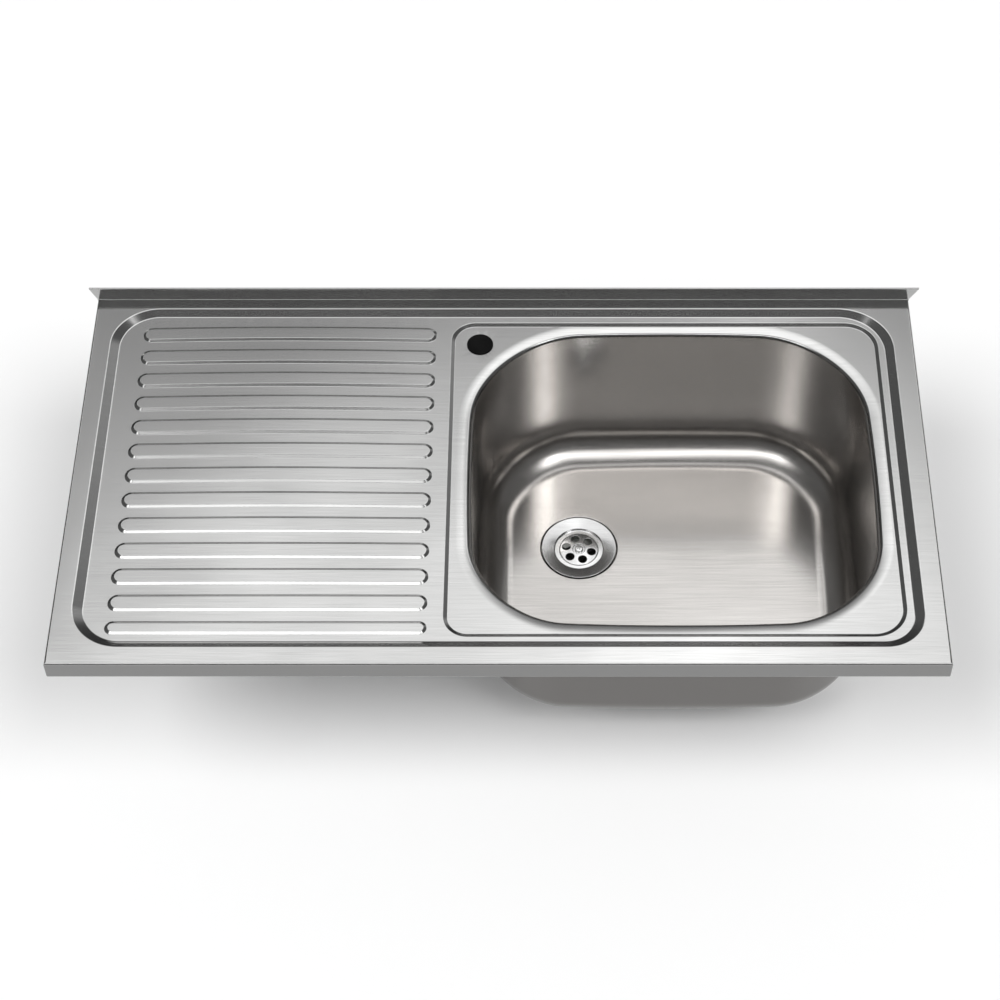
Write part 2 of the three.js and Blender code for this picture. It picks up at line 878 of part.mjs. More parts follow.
function makeEarthTag() {
  const half = tagWidth / 2;
  const face = -sheet - gap;
  const upright = box(-half, half, face - tagSheet, face, tagFoot, tagFoot + tagHeight);
  const leg = box(-half, half, face - tagLeg, face, tagFoot, tagFoot + tagSheet);
  const hole = cylinder(earthScrewRadius + gap, 0, tagFoot + tagHeight, smallSegments);
  return upright.add(leg).subtract(hole.translate(0, face - tagLeg / 2, 0));
}

function makeEarthScrew() {
  const seat = tagFoot - gap;
  const screw = revolve(
    [
      [0, seat - earthHeadHeight],
      [earthHeadRadius - 0.8, seat - earthHeadHeight],
      [earthHeadRadius, seat - earthHeadHeight + 0.8],
      [earthHeadRadius, seat],
      [earthScrewRadius, seat],
      [earthScrewRadius, seat + earthScrewLength],
      [0, seat + earthScrewLength],
    ],
    smallSegments,
  );
  const half = crossWidth / 2;
  const low = seat - earthHeadHeight - 1;
  const slot = box(-earthHeadRadius - 1, earthHeadRadius + 1, -half, half, low, low + 1 + crossDepth);
  return screw.subtract(slot);
}

// ---------------------------------------------------------------- assembly

const sink = new THREE.Group();
sink.add(toMesh("deck", makeDeck(), steel));
// The drawn bowl is kept as a wall and a floor, parted where its bottom rounding begins.
const bowl = makeBowl();
const filletTop = floorTop + bowlFillet;
sink.add(toMesh("bowl_wall", bowl.trimByPlane([0, 0, 1], filletTop + gap / 2), steel));
sink.add(toMesh("bowl_floor", bowl.trimByPlane([0, 0, -1], gap / 2 - filletTop), steel));
sink.add(toMesh("tap_hole_plug", makePlug().translate(tapX, tapY, 0), blackPlastic));

const waste = new THREE.Group();
waste.position.set(wasteX, wasteY, floorLow);
waste.add(toMesh("waste_flange", makeStrainer(), polished));
waste.add(toMesh("waste_flange_seal", makeUpperSeal(), rubber));
waste.add(toMesh("waste_body_seal", makeLowerSeal(), rubber));
waste.add(toMesh("waste_body", makeWasteBody(), whitePlastic));
waste.add(toMesh("waste_insert", makeInsert(), brass));
waste.add(toMesh("waste_screw", makeWasteScrew(), polished));
waste.add(toMesh("outlet_nut", makeOutletNut(), whitePlastic));
waste.add(toMesh("outlet_washer", makeOutletWasher(), rubber));
sink.add(waste);

for (const [side, fromLeft] of Object.entries(railsFromLeft)) {
  sink.add(toMesh(`drainer_rail_${side}`, makeRail(leftX + fromLeft), zinc));
}
const padEdge = railWeb / 2 + railFlange + drainerPadClearance;
const trayMiddle = (trayFrontFoot + trayBackFoot) / 2;
const drainerPad = makePad(
  leftX + railsFromLeft.left + padEdge,
  leftX + railsFromLeft.right - padEdge,
  trayMiddle,
  drainerPadLength,
  drainerUnder,
);
sink.add(toMesh("drainer_pad", drainerPad, deadening));
const bowlMiddle = (openingShape.front + openingShape.back) / 2;
const bowlPad = makePad(bowlPadLeft, bowlPadRight, bowlMiddle, bowlPadLength, floorTop - sheet - gap);
sink.add(toMesh("bowl_pad", bowlPad, deadening));

// Each hook stands on the inner edge of its return flange, turned so that its tab lies outwards.
const middleY = (frontY + backY) / 2;
const clipPlaces = {
  clip_left_front: [leftX + seatFlange, middleY - sideClipSpacing / 2, -90],
  clip_left_back: [leftX + seatFlange, middleY + sideClipSpacing / 2, -90],
  clip_right_front: [rightX - seatFlange, middleY - sideClipSpacing / 2, 90],
  clip_right_back: [rightX - seatFlange, middleY + sideClipSpacing / 2, 90],
  clip_back_left: [leftX + backClipFromLeft, backY - seatFlange, 180],
  clip_back_right: [rightX - backClipFromRight, backY - seatFlange, 180],
};
for (const [name, [x, y, angle]] of Object.entries(clipPlaces)) {
  const clip = toMesh(name, makeClip(), zinc);
  clip.position.set(x, y, 0);
  clip.rotation.z = turn(angle);
  sink.add(clip);
}

const earth = new THREE.Group();
earth.position.set(leftX + tagFromLeft, backY, 0);
earth.add(toMesh("earth_tag", makeEarthTag(), zinc));
const earthScrew = toMesh("earth_screw", makeEarthScrew(), brass);
earthScrew.position.y = -sheet - gap - tagLeg / 2;
earth.add(earthScrew);
sink.add(earth);

export default sink;
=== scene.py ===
"""A sit-on stainless kitchen sink: pressed deck with a ribbed drainer, deep-drawn bowl, strainer waste and hooks.

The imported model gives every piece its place. Each class below makes the finely shaped skin of one sub-assembly in
the same frame, in metres: +X to the right along the front edge, +Y to the wall, +Z up, origin at the front seat.
"""

import logging
import math
from dataclasses import dataclass, field, replace
from enum import Enum
from typing import Any, Callable, Iterable, Mapping, Sequence, Union

import bpy
import numpy as np
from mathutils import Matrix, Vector
from mathutils.geometry import delaunay_2d_cdt

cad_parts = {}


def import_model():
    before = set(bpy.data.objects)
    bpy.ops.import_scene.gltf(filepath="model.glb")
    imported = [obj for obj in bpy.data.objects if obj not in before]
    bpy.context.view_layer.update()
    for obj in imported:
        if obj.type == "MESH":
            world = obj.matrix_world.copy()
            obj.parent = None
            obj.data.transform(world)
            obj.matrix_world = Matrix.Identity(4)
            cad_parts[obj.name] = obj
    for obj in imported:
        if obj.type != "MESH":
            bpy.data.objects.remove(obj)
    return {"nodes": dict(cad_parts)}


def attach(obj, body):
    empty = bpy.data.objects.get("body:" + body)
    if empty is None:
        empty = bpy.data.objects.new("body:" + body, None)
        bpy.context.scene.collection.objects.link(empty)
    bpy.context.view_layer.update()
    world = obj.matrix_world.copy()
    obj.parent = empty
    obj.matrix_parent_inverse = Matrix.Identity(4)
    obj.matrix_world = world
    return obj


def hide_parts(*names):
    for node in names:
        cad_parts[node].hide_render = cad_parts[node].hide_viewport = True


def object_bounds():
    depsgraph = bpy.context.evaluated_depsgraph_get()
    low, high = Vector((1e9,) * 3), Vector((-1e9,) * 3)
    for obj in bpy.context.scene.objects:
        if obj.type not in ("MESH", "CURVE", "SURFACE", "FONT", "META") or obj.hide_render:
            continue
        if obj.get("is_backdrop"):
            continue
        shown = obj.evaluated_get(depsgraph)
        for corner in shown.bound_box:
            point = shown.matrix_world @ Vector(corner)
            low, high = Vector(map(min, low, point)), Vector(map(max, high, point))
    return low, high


LOG = logging.getLogger("sink")
MM = 0.001
# A point inside the bowl; faces turned away from it get the bowl's painted shade.
BOWL_MIDDLE = (200.0, 268.0, -90.0)
Loop = np.ndarray
Pair = tuple[float, float]


# ---------------------------------------------------------------- shader maths


class Signal:
    """A shader socket that can be used in Python expressions."""

    def __init__(self, shader: "Shader", socket: bpy.types.NodeSocket) -> None:
        """Wraps one output socket.

        Args:
            shader: The node tree that the socket belongs to.
            socket: The output socket.
        """
        self.shader = shader
        self.socket = socket

    def _math(self, operation: str, first: "Value", second: "Value") -> "Signal":
        """Returns a Math node's result on two values."""
        return self.shader.node("ShaderNodeMath", {"operation": operation}, {0: first, 1: second})

    def __add__(self, other: "Value") -> "Signal":
        """Returns the sum."""
        return self._math("ADD", self, other)

    def __sub__(self, other: "Value") -> "Signal":
        """Returns the difference."""
        return self._math("SUBTRACT", self, other)

    def __rsub__(self, other: "Value") -> "Signal":
        """Returns the other value less this one."""
        return self._math("SUBTRACT", other, self)

    def __mul__(self, other: "Value") -> "Signal":
        """Returns the product."""
        return self._math("MULTIPLY", self, other)

    def __gt__(self, other: "Value") -> "Signal":
        """Returns 1 where this value is greater, else 0."""
        return self._math("GREATER_THAN", self, other)

    def __abs__(self) -> "Signal":
        """Returns the absolute value."""
        return self._math("ABSOLUTE", self, 0.0)

    __radd__ = __add__
    __rmul__ = __mul__

    def ramp(self, low: float, high: float, start: float = 0.0, stop: float = 1.0) -> "Signal":
        """Maps a range smoothly onto another and clamps it.

        Args:
            low: Value at which the result is start.
            high: Value at which the result is stop.
            start: Result at low.
            stop: Result at high.

        Returns:
            The mapped value.
        """
        settings = {"interpolation_type": "SMOOTHSTEP", "clamp": True}
        return self.shader.node("ShaderNodeMapRange", settings, {0: self, 1: low, 2: high, 3: start, 4: stop})


Value = Union[Signal, float, Sequence[float]]


class Shader:
    """The node tree of one material, or of the world."""

    def __init__(self, tree: bpy.types.NodeTree) -> None:
        """Empties the tree.

        Args:
            tree: The node tree to build in.
        """
        self.tree = tree
        tree.nodes.clear()

    def node(
        self,
        kind: str,
        settings: Mapping[str, Any] | None = None,
        inputs: Mapping[Union[int, str], Value] | None = None,
        output: Union[int, str] = 0,
    ) -> Signal:
        """Adds a node.

        Args:
            kind: The node's type.
            settings: Its properties, set before its inputs.
            inputs: Values or links of its sockets, by name or number.
            output: The output socket to return.

        Returns:
            The chosen output.
        """
        made = self.tree.nodes.new(kind)
        for name, value in (settings or {}).items():
            setattr(made, name, value)
        for name, value in (inputs or {}).items():
            if isinstance(value, Signal):
                self.tree.links.new(value.socket, made.inputs[name])
            else:
                made.inputs[name].default_value = value
        return Signal(self, made.outputs[output] if made.outputs else None)

    def mix(self, low: Value, high: Value, share: Value) -> Signal:
        """Mixes two colours.

        Args:
            low: Colour at share 0.
            high: Colour at share 1.
            share: The mask.

        Returns:
            The mixed colour.
        """
        settings = {"data_type": "RGBA", "clamp_factor": True}
        sides = [side if isinstance(side, Signal) else (*side, 1.0) for side in (low, high)]
        return self.node("ShaderNodeMix", settings, {0: share, 6: sides[0], 7: sides[1]}, output=2)

    def vector(self, operation: str, first: Value, second: Value) -> Signal:
        """Returns a Vector Math node's result."""
        return self.node("ShaderNodeVectorMath", {"operation": operation}, {0: first, 1: second})

    def normal(self) -> Signal:
        """Returns the way the surface faces."""
        return self.node("ShaderNodeNewGeometry", output="Normal")

    def place(self) -> Signal:
        """Returns the point on the surface, in the row frame, in metres."""
        return self.node("ShaderNodeTexCoord", output="Object")

    def parts(self, vector: Signal) -> tuple[Signal, Signal, Signal]:
        """Splits a vector.

        Args:
            vector: The vector.

        Returns:
            Its X, Y and Z.
        """
        split = self.node("ShaderNodeSeparateXYZ", None, {0: vector})
        outputs = split.socket.node.outputs
        return tuple(Signal(self, outputs[i]) for i in range(3))

    def noise(self, vector: Value, scale: Sequence[float], detail: float = 3.0) -> Signal:
        """Returns noise between 0 and 1.

        Args:
            vector: Where it is read.
            scale: Features per metre along X, Y and Z.
            detail: Number of octaves.

        Returns:
            The noise.
        """
        stretched = self.vector("MULTIPLY", vector, scale)
        return self.node("ShaderNodeTexNoise", None, {"Vector": stretched, "Scale": 1.0, "Detail": detail})

    def bump(self, height: Value, strength: float, depth: float) -> Signal:
        """Returns a normal that follows a height.

        Args:
            height: The height, from 0 to 1.
            strength: The bump's strength.
            depth: The real depth, in metres.

        Returns:
            The bent normal.
        """
        return self.node("ShaderNodeBump", None, {"Strength": strength, "Distance": depth, "Height": height})


class Finish:
    """A surface finish. Subclasses say what the Principled shader's sockets hold."""

    name: str

    def sockets(self, shader: Shader) -> dict[str, Value]:
        """Returns the values or links of the Principled shader's sockets."""
        raise NotImplementedError

    def material(self) -> bpy.types.Material:
        """Returns the finish's material, made on first use."""
        known = bpy.data.materials.get(self.name)
        if known:
            return known
        material = bpy.data.materials.new(self.name)
        material.use_nodes = True
        shader = Shader(material.node_tree)
        surface = shader.node("ShaderNodeBsdfPrincipled", None, self.sockets(shader))
        shader.node("ShaderNodeOutputMaterial", None, {"Surface": surface})
        return material


class Grain(Enum):
    """Which way a brushed sheet's lines run."""

    ALONG_X = "along"
    ROUND_BOWL = "round"


class PaintedShade(Enum):
    """Which faces of a sheet get painted shade: a darker base colour that stands in for the darker reflections these
    faces show.
    """

    NOTHING = "nothing"
    UPRIGHT = "upright"
    OUTSIDE = "outside"


@dataclass(frozen=True)
class BrushedSteel(Finish):
    """Stainless sheet, finely brushed, with painted shade on chosen faces."""

    name: str
    dark: tuple[float, float, float]
    light: tuple[float, float, float]
    roughness: float
    grain: Grain = Grain.ALONG_X
    streak: float = 0.5
    brush_depth: float = 0.006 * MM
    lines_per_metre: float = 1400.0
    line_length: float = 0.05
    painted_shade: PaintedShade = PaintedShade.NOTHING
    painted_shade_factor: float = 0.4
    flat_blur: float = 1.0

    def _upright(self, shader: Shader) -> Signal:
        """Returns how upright the face is, from 0 to 1.

        Args:
            shader: The node tree.
        """
        return (1.0 - abs(shader.parts(shader.normal())[2])).ramp(0.25, 0.75)

    def _lines(self, shader: Shader, place: Signal) -> Signal:
        """Returns the brush lines' height.

        Args:
            shader: The node tree.
            place: The point on the surface.

        Returns:
            A height from 0 to 1.
        """
        along = 1.0 / self.line_length
        across = self.lines_per_metre
        flat = shader.noise(place, (along, across, along), 4.0)
        if self.grain is Grain.ALONG_X:
            return flat
        level = shader.noise(place, (along, along, across * 0.5), 3.0)
        share = self._upright(shader)
        return flat * (1.0 - share) + (level * 0.5 + 0.25) * share

    def _painted_shade_mask(self, shader: Shader, place: Signal) -> Signal:
        """Returns where painted shade darkens the sheet.

        Args:
            shader: The node tree.
            place: The point on the surface.

        Returns:
            The mask, from 0 to 1.
        """
        normal = shader.normal()
        if self.painted_shade is PaintedShade.UPRIGHT:
            # Upright faces, the lips and bends, get painted shade.
            return abs(shader.parts(normal)[2]).ramp(0.2, 0.6, 1.0, 0.0)
        # The bowl's outside faces, turned away from its middle, get painted shade.
        outwards = shader.vector("SUBTRACT", place, tuple(part * MM for part in BOWL_MIDDLE))
        facing = shader.node("ShaderNodeVectorMath", {"operation": "DOT_PRODUCT"}, {0: normal, 1: outwards}, "Value")
        return facing > 0.0

    def sockets(self, shader: Shader) -> dict[str, Value]:
        """Returns the brushed look: streaks in colour and roughness, fine lines in the normal, and painted shade on the
        chosen faces.
        """
        place = shader.place()
        lines = self._lines(shader, place)
        cloud = shader.noise(place, (7.0, 9.0, 9.0), 2.0)
        share = (lines * self.streak + cloud * (1.0 - self.streak)).ramp(0.3, 0.7)
        colour = shader.mix(self.dark, self.light, share)
        # Painted shade: the chosen faces take a darker colour that stands in for shade and darker reflections.
        if self.painted_shade is not PaintedShade.NOTHING:
            painted_shade_colour = tuple(channel * self.painted_shade_factor for channel in self.dark)
            colour = shader.mix(colour, painted_shade_colour, self._painted_shade_mask(shader, place))
        rough = share.ramp(0.0, 1.0, self.roughness * 1.12, self.roughness * 0.88)
        if self.flat_blur != 1.0:
            rough = rough * self._upright(shader).ramp(0.0, 1.0, self.flat_blur, 1.0)
        return {
            "Base Color": colour,
            "Metallic": 1.0,
            "Roughness": rough,
            "Normal": shader.bump(lines, 1.0, self.brush_depth),
        }


@dataclass(frozen=True)
class Plain(Finish):
    """A moulded or cast material with a fine grain."""

    name: str
    dark: tuple[float, float, float]
    light: tuple[float, float, float]
    roughness: float
    metallic: float = 0.0
    grain_per_metre: float = 900.0
    grain_depth: float = 0.02 * MM
    specular: float = 0.5
    # Painted shade: a near-black colour inside a radius round an upright axis, where shade falls.
    painted_inner_shade: tuple[float, float, float] | None = None

    def _painted_inner_shade_mask(self, shader: Shader, place: Signal) -> Signal:
        """Returns where painted shade goes: inside a radius round an upright axis.

        Args:
            shader: The node tree.
            place: The point on the surface.
        """
        middle_x, middle_y, radius = (part * MM for part in self.painted_inner_shade)
        x, y, _ = shader.parts(place)
        across, along = x - middle_x, y - middle_y
        return (across * across + along * along).ramp(radius * radius, radius * radius * 1.04, 1.0, 0.0)

    def sockets(self, shader: Shader) -> dict[str, Value]:
        """Returns a slightly mottled colour with a fine grain, and painted shade inside a radius if one is set."""
        place = shader.place()
        grain = shader.noise(place, (self.grain_per_metre,) * 3, 3.0)
        cloud = shader.noise(place, (45.0, 45.0, 45.0), 3.0)
        share = (grain * 0.5 + cloud * 0.5).ramp(0.35, 0.65)
        colour = shader.mix(self.dark, self.light, share)
        # Painted shade: near-black inside the waste cup, where shade falls.
        if self.painted_inner_shade:
            colour = shader.mix(colour, (0.02, 0.02, 0.02), self._painted_inner_shade_mask(shader, place))
        return {
            "Base Color": colour,
            "Metallic": self.metallic,
            "Specular IOR Level": self.specular,
            "Roughness": share.ramp(0.0, 1.0, self.roughness * 1.1, self.roughness * 0.9),
            "Normal": shader.bump(grain, 0.6, self.grain_depth),
        }


# Painted shade on upright faces, the lips and bends: their colour is darkened to stand in for the shadowed floor they
# reflect.
DECK_STEEL = BrushedSteel(
    "satin_deck_painted_shade", (0.60, 0.60, 0.595), (0.70, 0.70, 0.695), 0.14, brush_depth=0.0008 * MM,
    painted_shade=PaintedShade.UPRIGHT
)
# The upstand's steel, the same sheet without the painted shade.
BACK_STEEL = replace(DECK_STEEL, name="satin_fold", painted_shade=PaintedShade.NOTHING)
# Painted shade on the bowl's outside: its colour is darkened to stand in for the shadowed floor it reflects.
BOWL_STEEL = BrushedSteel(
    "satin_bowl_painted_shade", (0.62, 0.60, 0.58), (0.70, 0.68, 0.66), 0.20, Grain.ROUND_BOWL, 0.75, 0.0035 * MM,
    2200.0, 0.08, PaintedShade.OUTSIDE, 0.26, 1.2
)
WASTE_STEEL = BrushedSteel("polished_waste", (0.68, 0.68, 0.68), (0.78, 0.78, 0.78), 0.16, brush_depth=0.002 * MM)
ZINC = Plain("zinc_plate", (0.50, 0.52, 0.53), (0.62, 0.64, 0.65), 0.42, 1.0, 300.0)
BRASS = Plain("turned_brass", (0.62, 0.47, 0.19), (0.74, 0.58, 0.26), 0.32, 1.0, 500.0)
RUBBER = Plain("moulded_rubber", (0.018, 0.018, 0.019), (0.035, 0.035, 0.036), 0.75)
BLACK_PLASTIC = Plain("moulded_black", (0.004, 0.004, 0.004), (0.007, 0.007, 0.007), 0.6, specular=0.08)
WHITE_PLASTIC = Plain("moulded_white", (0.76, 0.76, 0.73), (0.84, 0.84, 0.81), 0.42)
# The white waste cup, with painted shade inside it.
CUP_PLASTIC = replace(WHITE_PLASTIC, name="painted_shade_cup", painted_inner_shade=(94.1, 317.4, 27.0))
DEADENING = Plain("deadening_sheet", (0.04, 0.04, 0.042), (0.075, 0.075, 0.078), 0.85, 0.0, 260.0, 0.15 * MM)


# ---------------------------------------------------------------- outlines and profiles, in millimetres


@dataclass(frozen=True)
class RoundedRect:
    """A rectangle with rounded corners, seen from above. Its sides can bow outwards."""

    left: float
    right: float
    front: float
    back: float
    corners: tuple[float, float, float, float]
    bow: float = 0.0

    def grown(self, dx: float, dy: float | None = None) -> "RoundedRect":
        """Returns the outline made larger all round, or smaller where negative.

        Args:
            dx: Distance added on the left and right.
            dy: Distance added at the front and back, dx if left out.
        """
        dy = dx if dy is None else dy
        corners = tuple(max(radius + (dx + dy) / 2, 0.15) for radius in self.corners)
        return replace(
            self,
            left=self.left - dx,
            right=self.right + dx,
            front=self.front - dy,
            back=self.back + dy,
            corners=corners,
        )

    def loop(self, corner_steps: int, side_steps: int) -> Loop:
        """Returns the outline's points.

        Args:
            corner_steps: Steps in each rounded corner.
            side_steps: Steps along each side.

        Returns:
            An N by 2 array, anticlockwise from the front side's right end.
        """
        front_right, back_right, back_left, front_left = self.corners
        centres = (
            (self.right - front_right, self.front + front_right, front_right),
            (self.right - back_right, self.back - back_right, back_right),
            (self.left + back_left, self.back - back_left, back_left),
            (self.left + front_left, self.front + front_left, front_left),
        )
        arcs = []
        for quarter, (x, y, radius) in enumerate(centres):
            turn = np.radians(np.linspace(-90, 0, corner_steps + 1) + 90 * quarter)
            arcs.append(np.column_stack((x + radius * np.cos(turn), y + radius * np.sin(turn))))
        points = []
        for arc, following in zip(arcs, arcs[1:] + arcs[:1]):
            share = np.linspace(0, 1, side_steps + 1)[1:-1, None]
            points += [arc, arc[-1] * (1 - share) + following[0] * share]
        loop = np.vstack(points)
        middle = np.array([(self.left + self.right) / 2, (self.front + self.back) / 2])
        half = np.array([(self.right - self.left) / 2, (self.back - self.front) / 2])
        unit = (loop - middle) / half
        return loop + self.bow * unit * (1 - unit[:, ::-1] ** 2)


@dataclass(frozen=True)
class Stadium:
    """A rib's outline: straight sides and round ends, bowed a little towards the wall."""

    left: float
    right: float
    middle: float
    half_width: float
    bow: float

    def grown(self, distance: float) -> "Stadium":
        """Returns the outline made larger all round by a distance."""
        return replace(
            self,
            left=self.left - distance,
            right=self.right + distance,
            half_width=self.half_width + distance,
        )

    def loop(self, end_steps: int, side_steps: int) -> Loop:
        """Returns the outline's points, anticlockwise.

        Args:
            end_steps: Steps round each end.
            side_steps: Steps along each side.
        """
        radius = self.half_width
        turn = np.radians(np.linspace(-90, 90, end_steps + 1))
        right_end = np.column_stack((self.right - radius + radius * np.cos(turn), radius * np.sin(turn)))
        left_end = np.column_stack((self.left + radius - radius * np.cos(turn), -radius * np.sin(turn)))
        share = np.linspace(0, 1, side_steps + 1)[1:-1, None]
        back = right_end[-1] * (1 - share) + left_end[0] * share
        front = left_end[-1] * (1 - share) + right_end[0] * share
        loop = np.vstack((right_end, back, left_end, front))
        unit = 2 * (loop[:, 0] - self.left) / (self.right - self.left) - 1
        loop[:, 1] += self.middle + self.bow * (1 - unit**2)
        return loop


def circle(x: float, y: float, radius: float, steps: int) -> Loop:
    """Returns a circle's points, anticlockwise."""
    turn = np.linspace(0, 2 * math.pi, steps, endpoint=False)
    return np.column_stack((x + radius * np.cos(turn), y + radius * np.sin(turn)))


def pressed_step(run: float, fall: float, radius: float, steps: int = 5) -> list[Pair]:
    """Works out a pressed step's section: a round crest, a straight slope and a round foot.

    Args:
        run: Width, seen from above.
        fall: Height of the step.
        radius: Radius of the crest and the foot.
        steps: Steps in each round.

    Returns:
        Distance across and down, from the crest to the foot.
    """
    low, high = 0.0, math.pi / 2
    for _ in range(50):
        angle = (low + high) / 2
        across = run - 2 * radius * math.sin(angle)
        down = fall - 2 * radius * (1 - math.cos(angle))
        if across * math.sin(angle) < down * math.cos(angle):
            low = angle
        else:
            high = angle
    turns = [angle * i / steps for i in range(steps + 1)]
    crest = [(radius * math.sin(turn), radius * (1 - math.cos(turn))) for turn in turns]
    foot = [(run - across, fall - down) for across, down in reversed(crest)]
    return crest + foot


def quarter_round(steps: int) -> list[Pair]:
    """Returns the sine and cosine of even turns from 0 to 90 degrees."""
    turns = [math.pi / 2 * i / steps for i in range(steps + 1)]
    return [(math.sin(turn), math.cos(turn)) for turn in turns]


def inside(points: Loop, loop: Loop) -> np.ndarray:
    """Tests which points lie inside a closed outline.

    Args:
        points: N by 2 points.
        loop: M by 2 outline.

    Returns:
        N booleans.
    """
    x, y = points[:, 0:1], points[:, 1:2]
    x0, y0 = loop[:, 0], loop[:, 1]
    x1, y1 = np.roll(x0, -1), np.roll(y0, -1)
    crosses = (y0 > y) != (y1 > y)
    rise = np.where(y1 == y0, 1.0, y1 - y0)
    return (crosses & (x < (x1 - x0) * (y - y0) / rise + x0)).sum(1) % 2 == 1


# ---------------------------------------------------------------- skins


class Skin:
    """An open sheet made of loops, bridged and filled, that can be given a thickness."""

    def __init__(self) -> None:
        """Starts with no points."""
        self.points: list[np.ndarray] = []
        self.faces: list[tuple[int, ...]] = []
        self.count = 0

    def ring(self, loop: Loop, height: Union[float, np.ndarray]) -> np.ndarray:
        """Adds a loop of points.

        Args:
            loop: N by 2 outline in millimetres.
            height: One height, or one for each point.

        Returns:
            The points' numbers.
        """
        rise = np.broadcast_to(np.asarray(height, float), (len(loop),))
        self.points.append(np.column_stack((loop, rise)))
        numbers = np.arange(self.count, self.count + len(loop))
        self.count += len(loop)
        return numbers

    def bridge(self, first: np.ndarray, second: np.ndarray) -> None:
        """Joins two loops of the same length with four-sided faces."""
        a, b = first, second
        after_a, after_b = np.roll(a, -1), np.roll(b, -1)
        self.faces += [tuple(map(int, quad)) for quad in zip(a, after_a, after_b, b)]

    def band(self, sections: Iterable[tuple[Loop, Union[float, np.ndarray]]]) -> tuple[np.ndarray, np.ndarray]:
        """Adds a run of loops and joins each to the next.

        Args:
            sections: Outline and height of each loop, in order.

        Returns:
            The first and last loops' numbers.
        """
        rings = [self.ring(loop, height) for loop, height in sections]
        for before, after in zip(rings, rings[1:]):
            self.bridge(before, after)
        return rings[0], rings[-1]

    def fill(
        self,
        outer: np.ndarray,
        holes: Sequence[np.ndarray] = (),
        spread: float = 0.0,
        height: Callable[[Loop], np.ndarray] | None = None,
        flip: bool = False,
    ) -> None:
        """Fills the space between an outer loop and the loops inside it.

        Args:
            outer: The outer loop's numbers.
            holes: The inner loops' numbers.
            spread: Distance between added inner points, or 0 for none.
            height: Height of the added points.
            flip: Whether the faces look down.
        """
        known = np.vstack(self.points)
        loops = [outer, *holes]
        border = np.vstack([known[loop][:, :2] for loop in loops])
        numbers = np.concatenate(loops)
        edges, start = [], 0
        for loop in loops:
            count = len(loop)
            edges += [(start + i, start + (i + 1) % count) for i in range(count)]
            start += count
        if spread:
            added = self._scatter(border, [known[loop][:, :2] for loop in loops], spread)
            numbers = np.concatenate((numbers, self.ring(added, height(added))))
            border = np.vstack((border, added))
        flat = [Vector(point) for point in border]
        corners, _, triangles, origins, _, _ = delaunay_2d_cdt(flat, edges, [], 1, 1e-6)
        source = [numbers[origin[0]] if origin else -1 for origin in origins]
        centres = np.array([np.mean([corners[i] for i in triangle], axis=0) for triangle in triangles])
        keep = inside(centres, known[outer][:, :2])
        for hole in holes:
            keep &= ~inside(centres, known[hole][:, :2])
        for triangle, wanted in zip(triangles, keep):
            face = tuple(int(source[i]) for i in triangle)
            if wanted and min(face) >= 0:
                self.faces.append(face[::-1] if flip else face)

    @staticmethod
    def _scatter(border: Loop, loops: Sequence[Loop], spread: float) -> Loop:
        """Places a grid of points between loops.

        Args:
            border: All the loops' points.
            loops: The outer loop, then the holes.
            spread: The grid's spacing.

        Returns:
            The points that are clear of every loop.
        """
        low, high = loops[0].min(0), loops[0].max(0)
        axes = [np.arange(low[i] + spread / 2, high[i], spread) for i in range(2)]
        grid = np.stack(np.meshgrid(*axes), -1).reshape(-1, 2)
        keep = inside(grid, loops[0])
        for hole in loops[1:]:
            keep &= ~inside(grid, hole)
        grid = grid[keep]
        nearest = np.sqrt(((grid[:, None] - border[None]) ** 2).sum(-1)).min(1)
        return grid[nearest > 0.45 * spread]

    def turn(
        self,
        profile: Sequence[Pair],
        centre: tuple[float, float, float],
        steps: int = 96,
        sweep: Pair = (0.0, 360.0),
    ) -> "Skin":
        """Adds a closed profile turned about a vertical axis.

        Args:
            profile: Radius and height pairs, anticlockwise with the radius to the right.
            centre: The axis and the height's zero.
            steps: Steps in a full turn.
            sweep: Start and end angles in degrees, for less than a full turn.

        Returns:
            The skin itself.
        """
        x, y, z = centre
        if sweep[1] - sweep[0] < 360.0:
            self._part_turn(profile, centre, steps, sweep)
            return self
        tipped = profile[0][0] == 0.0 and profile[-1][0] == 0.0
        body = profile[1:-1] if tipped else profile
        rings = [self.ring(circle(x, y, radius, steps), z + height) for radius, height in body]
        for before, after in zip(rings, rings[1:]):
            self.bridge(before, after)
        if not tipped:
            self.bridge(rings[-1], rings[0])
            return self
        for ring, height, top in ((rings[0], profile[0][1], False), (rings[-1], profile[-1][1], True)):
            tip = int(self.ring(np.array([[x, y]]), z + height)[0])
            for a, b in zip(map(int, ring), map(int, np.roll(ring, -1))):
                self.faces.append((a, b, tip) if top else (b, a, tip))
        return self

    def _part_turn(
        self, profile: Sequence[Pair], centre: tuple[float, float, float], steps: int, sweep: Pair
    ) -> None:
        """Adds a profile turned through part of a circle, with flat ends.

        Args:
            profile: Radius and height pairs, anticlockwise with the radius to the right.
            centre: The axis and the height's zero.
            steps: Steps in a full turn.
            sweep: Start and end angles in degrees.
        """
        count = max(2, round(steps * (sweep[1] - sweep[0]) / 360))
        section = np.array(profile)
        rings = []
        for angle in np.radians(np.linspace(*sweep, count + 1)):
            loop = np.column_stack((section[:, 0] * math.cos(angle), section[:, 0] * math.sin(angle)))
            rings.append(self.ring(loop + np.array(centre[:2]), centre[2] + section[:, 1]))
        for before, after in zip(rings, rings[1:]):
            self.bridge(before, after)
        self.faces.append(tuple(map(int, rings[0][::-1])))
        self.faces.append(tuple(map(int, rings[-1])))

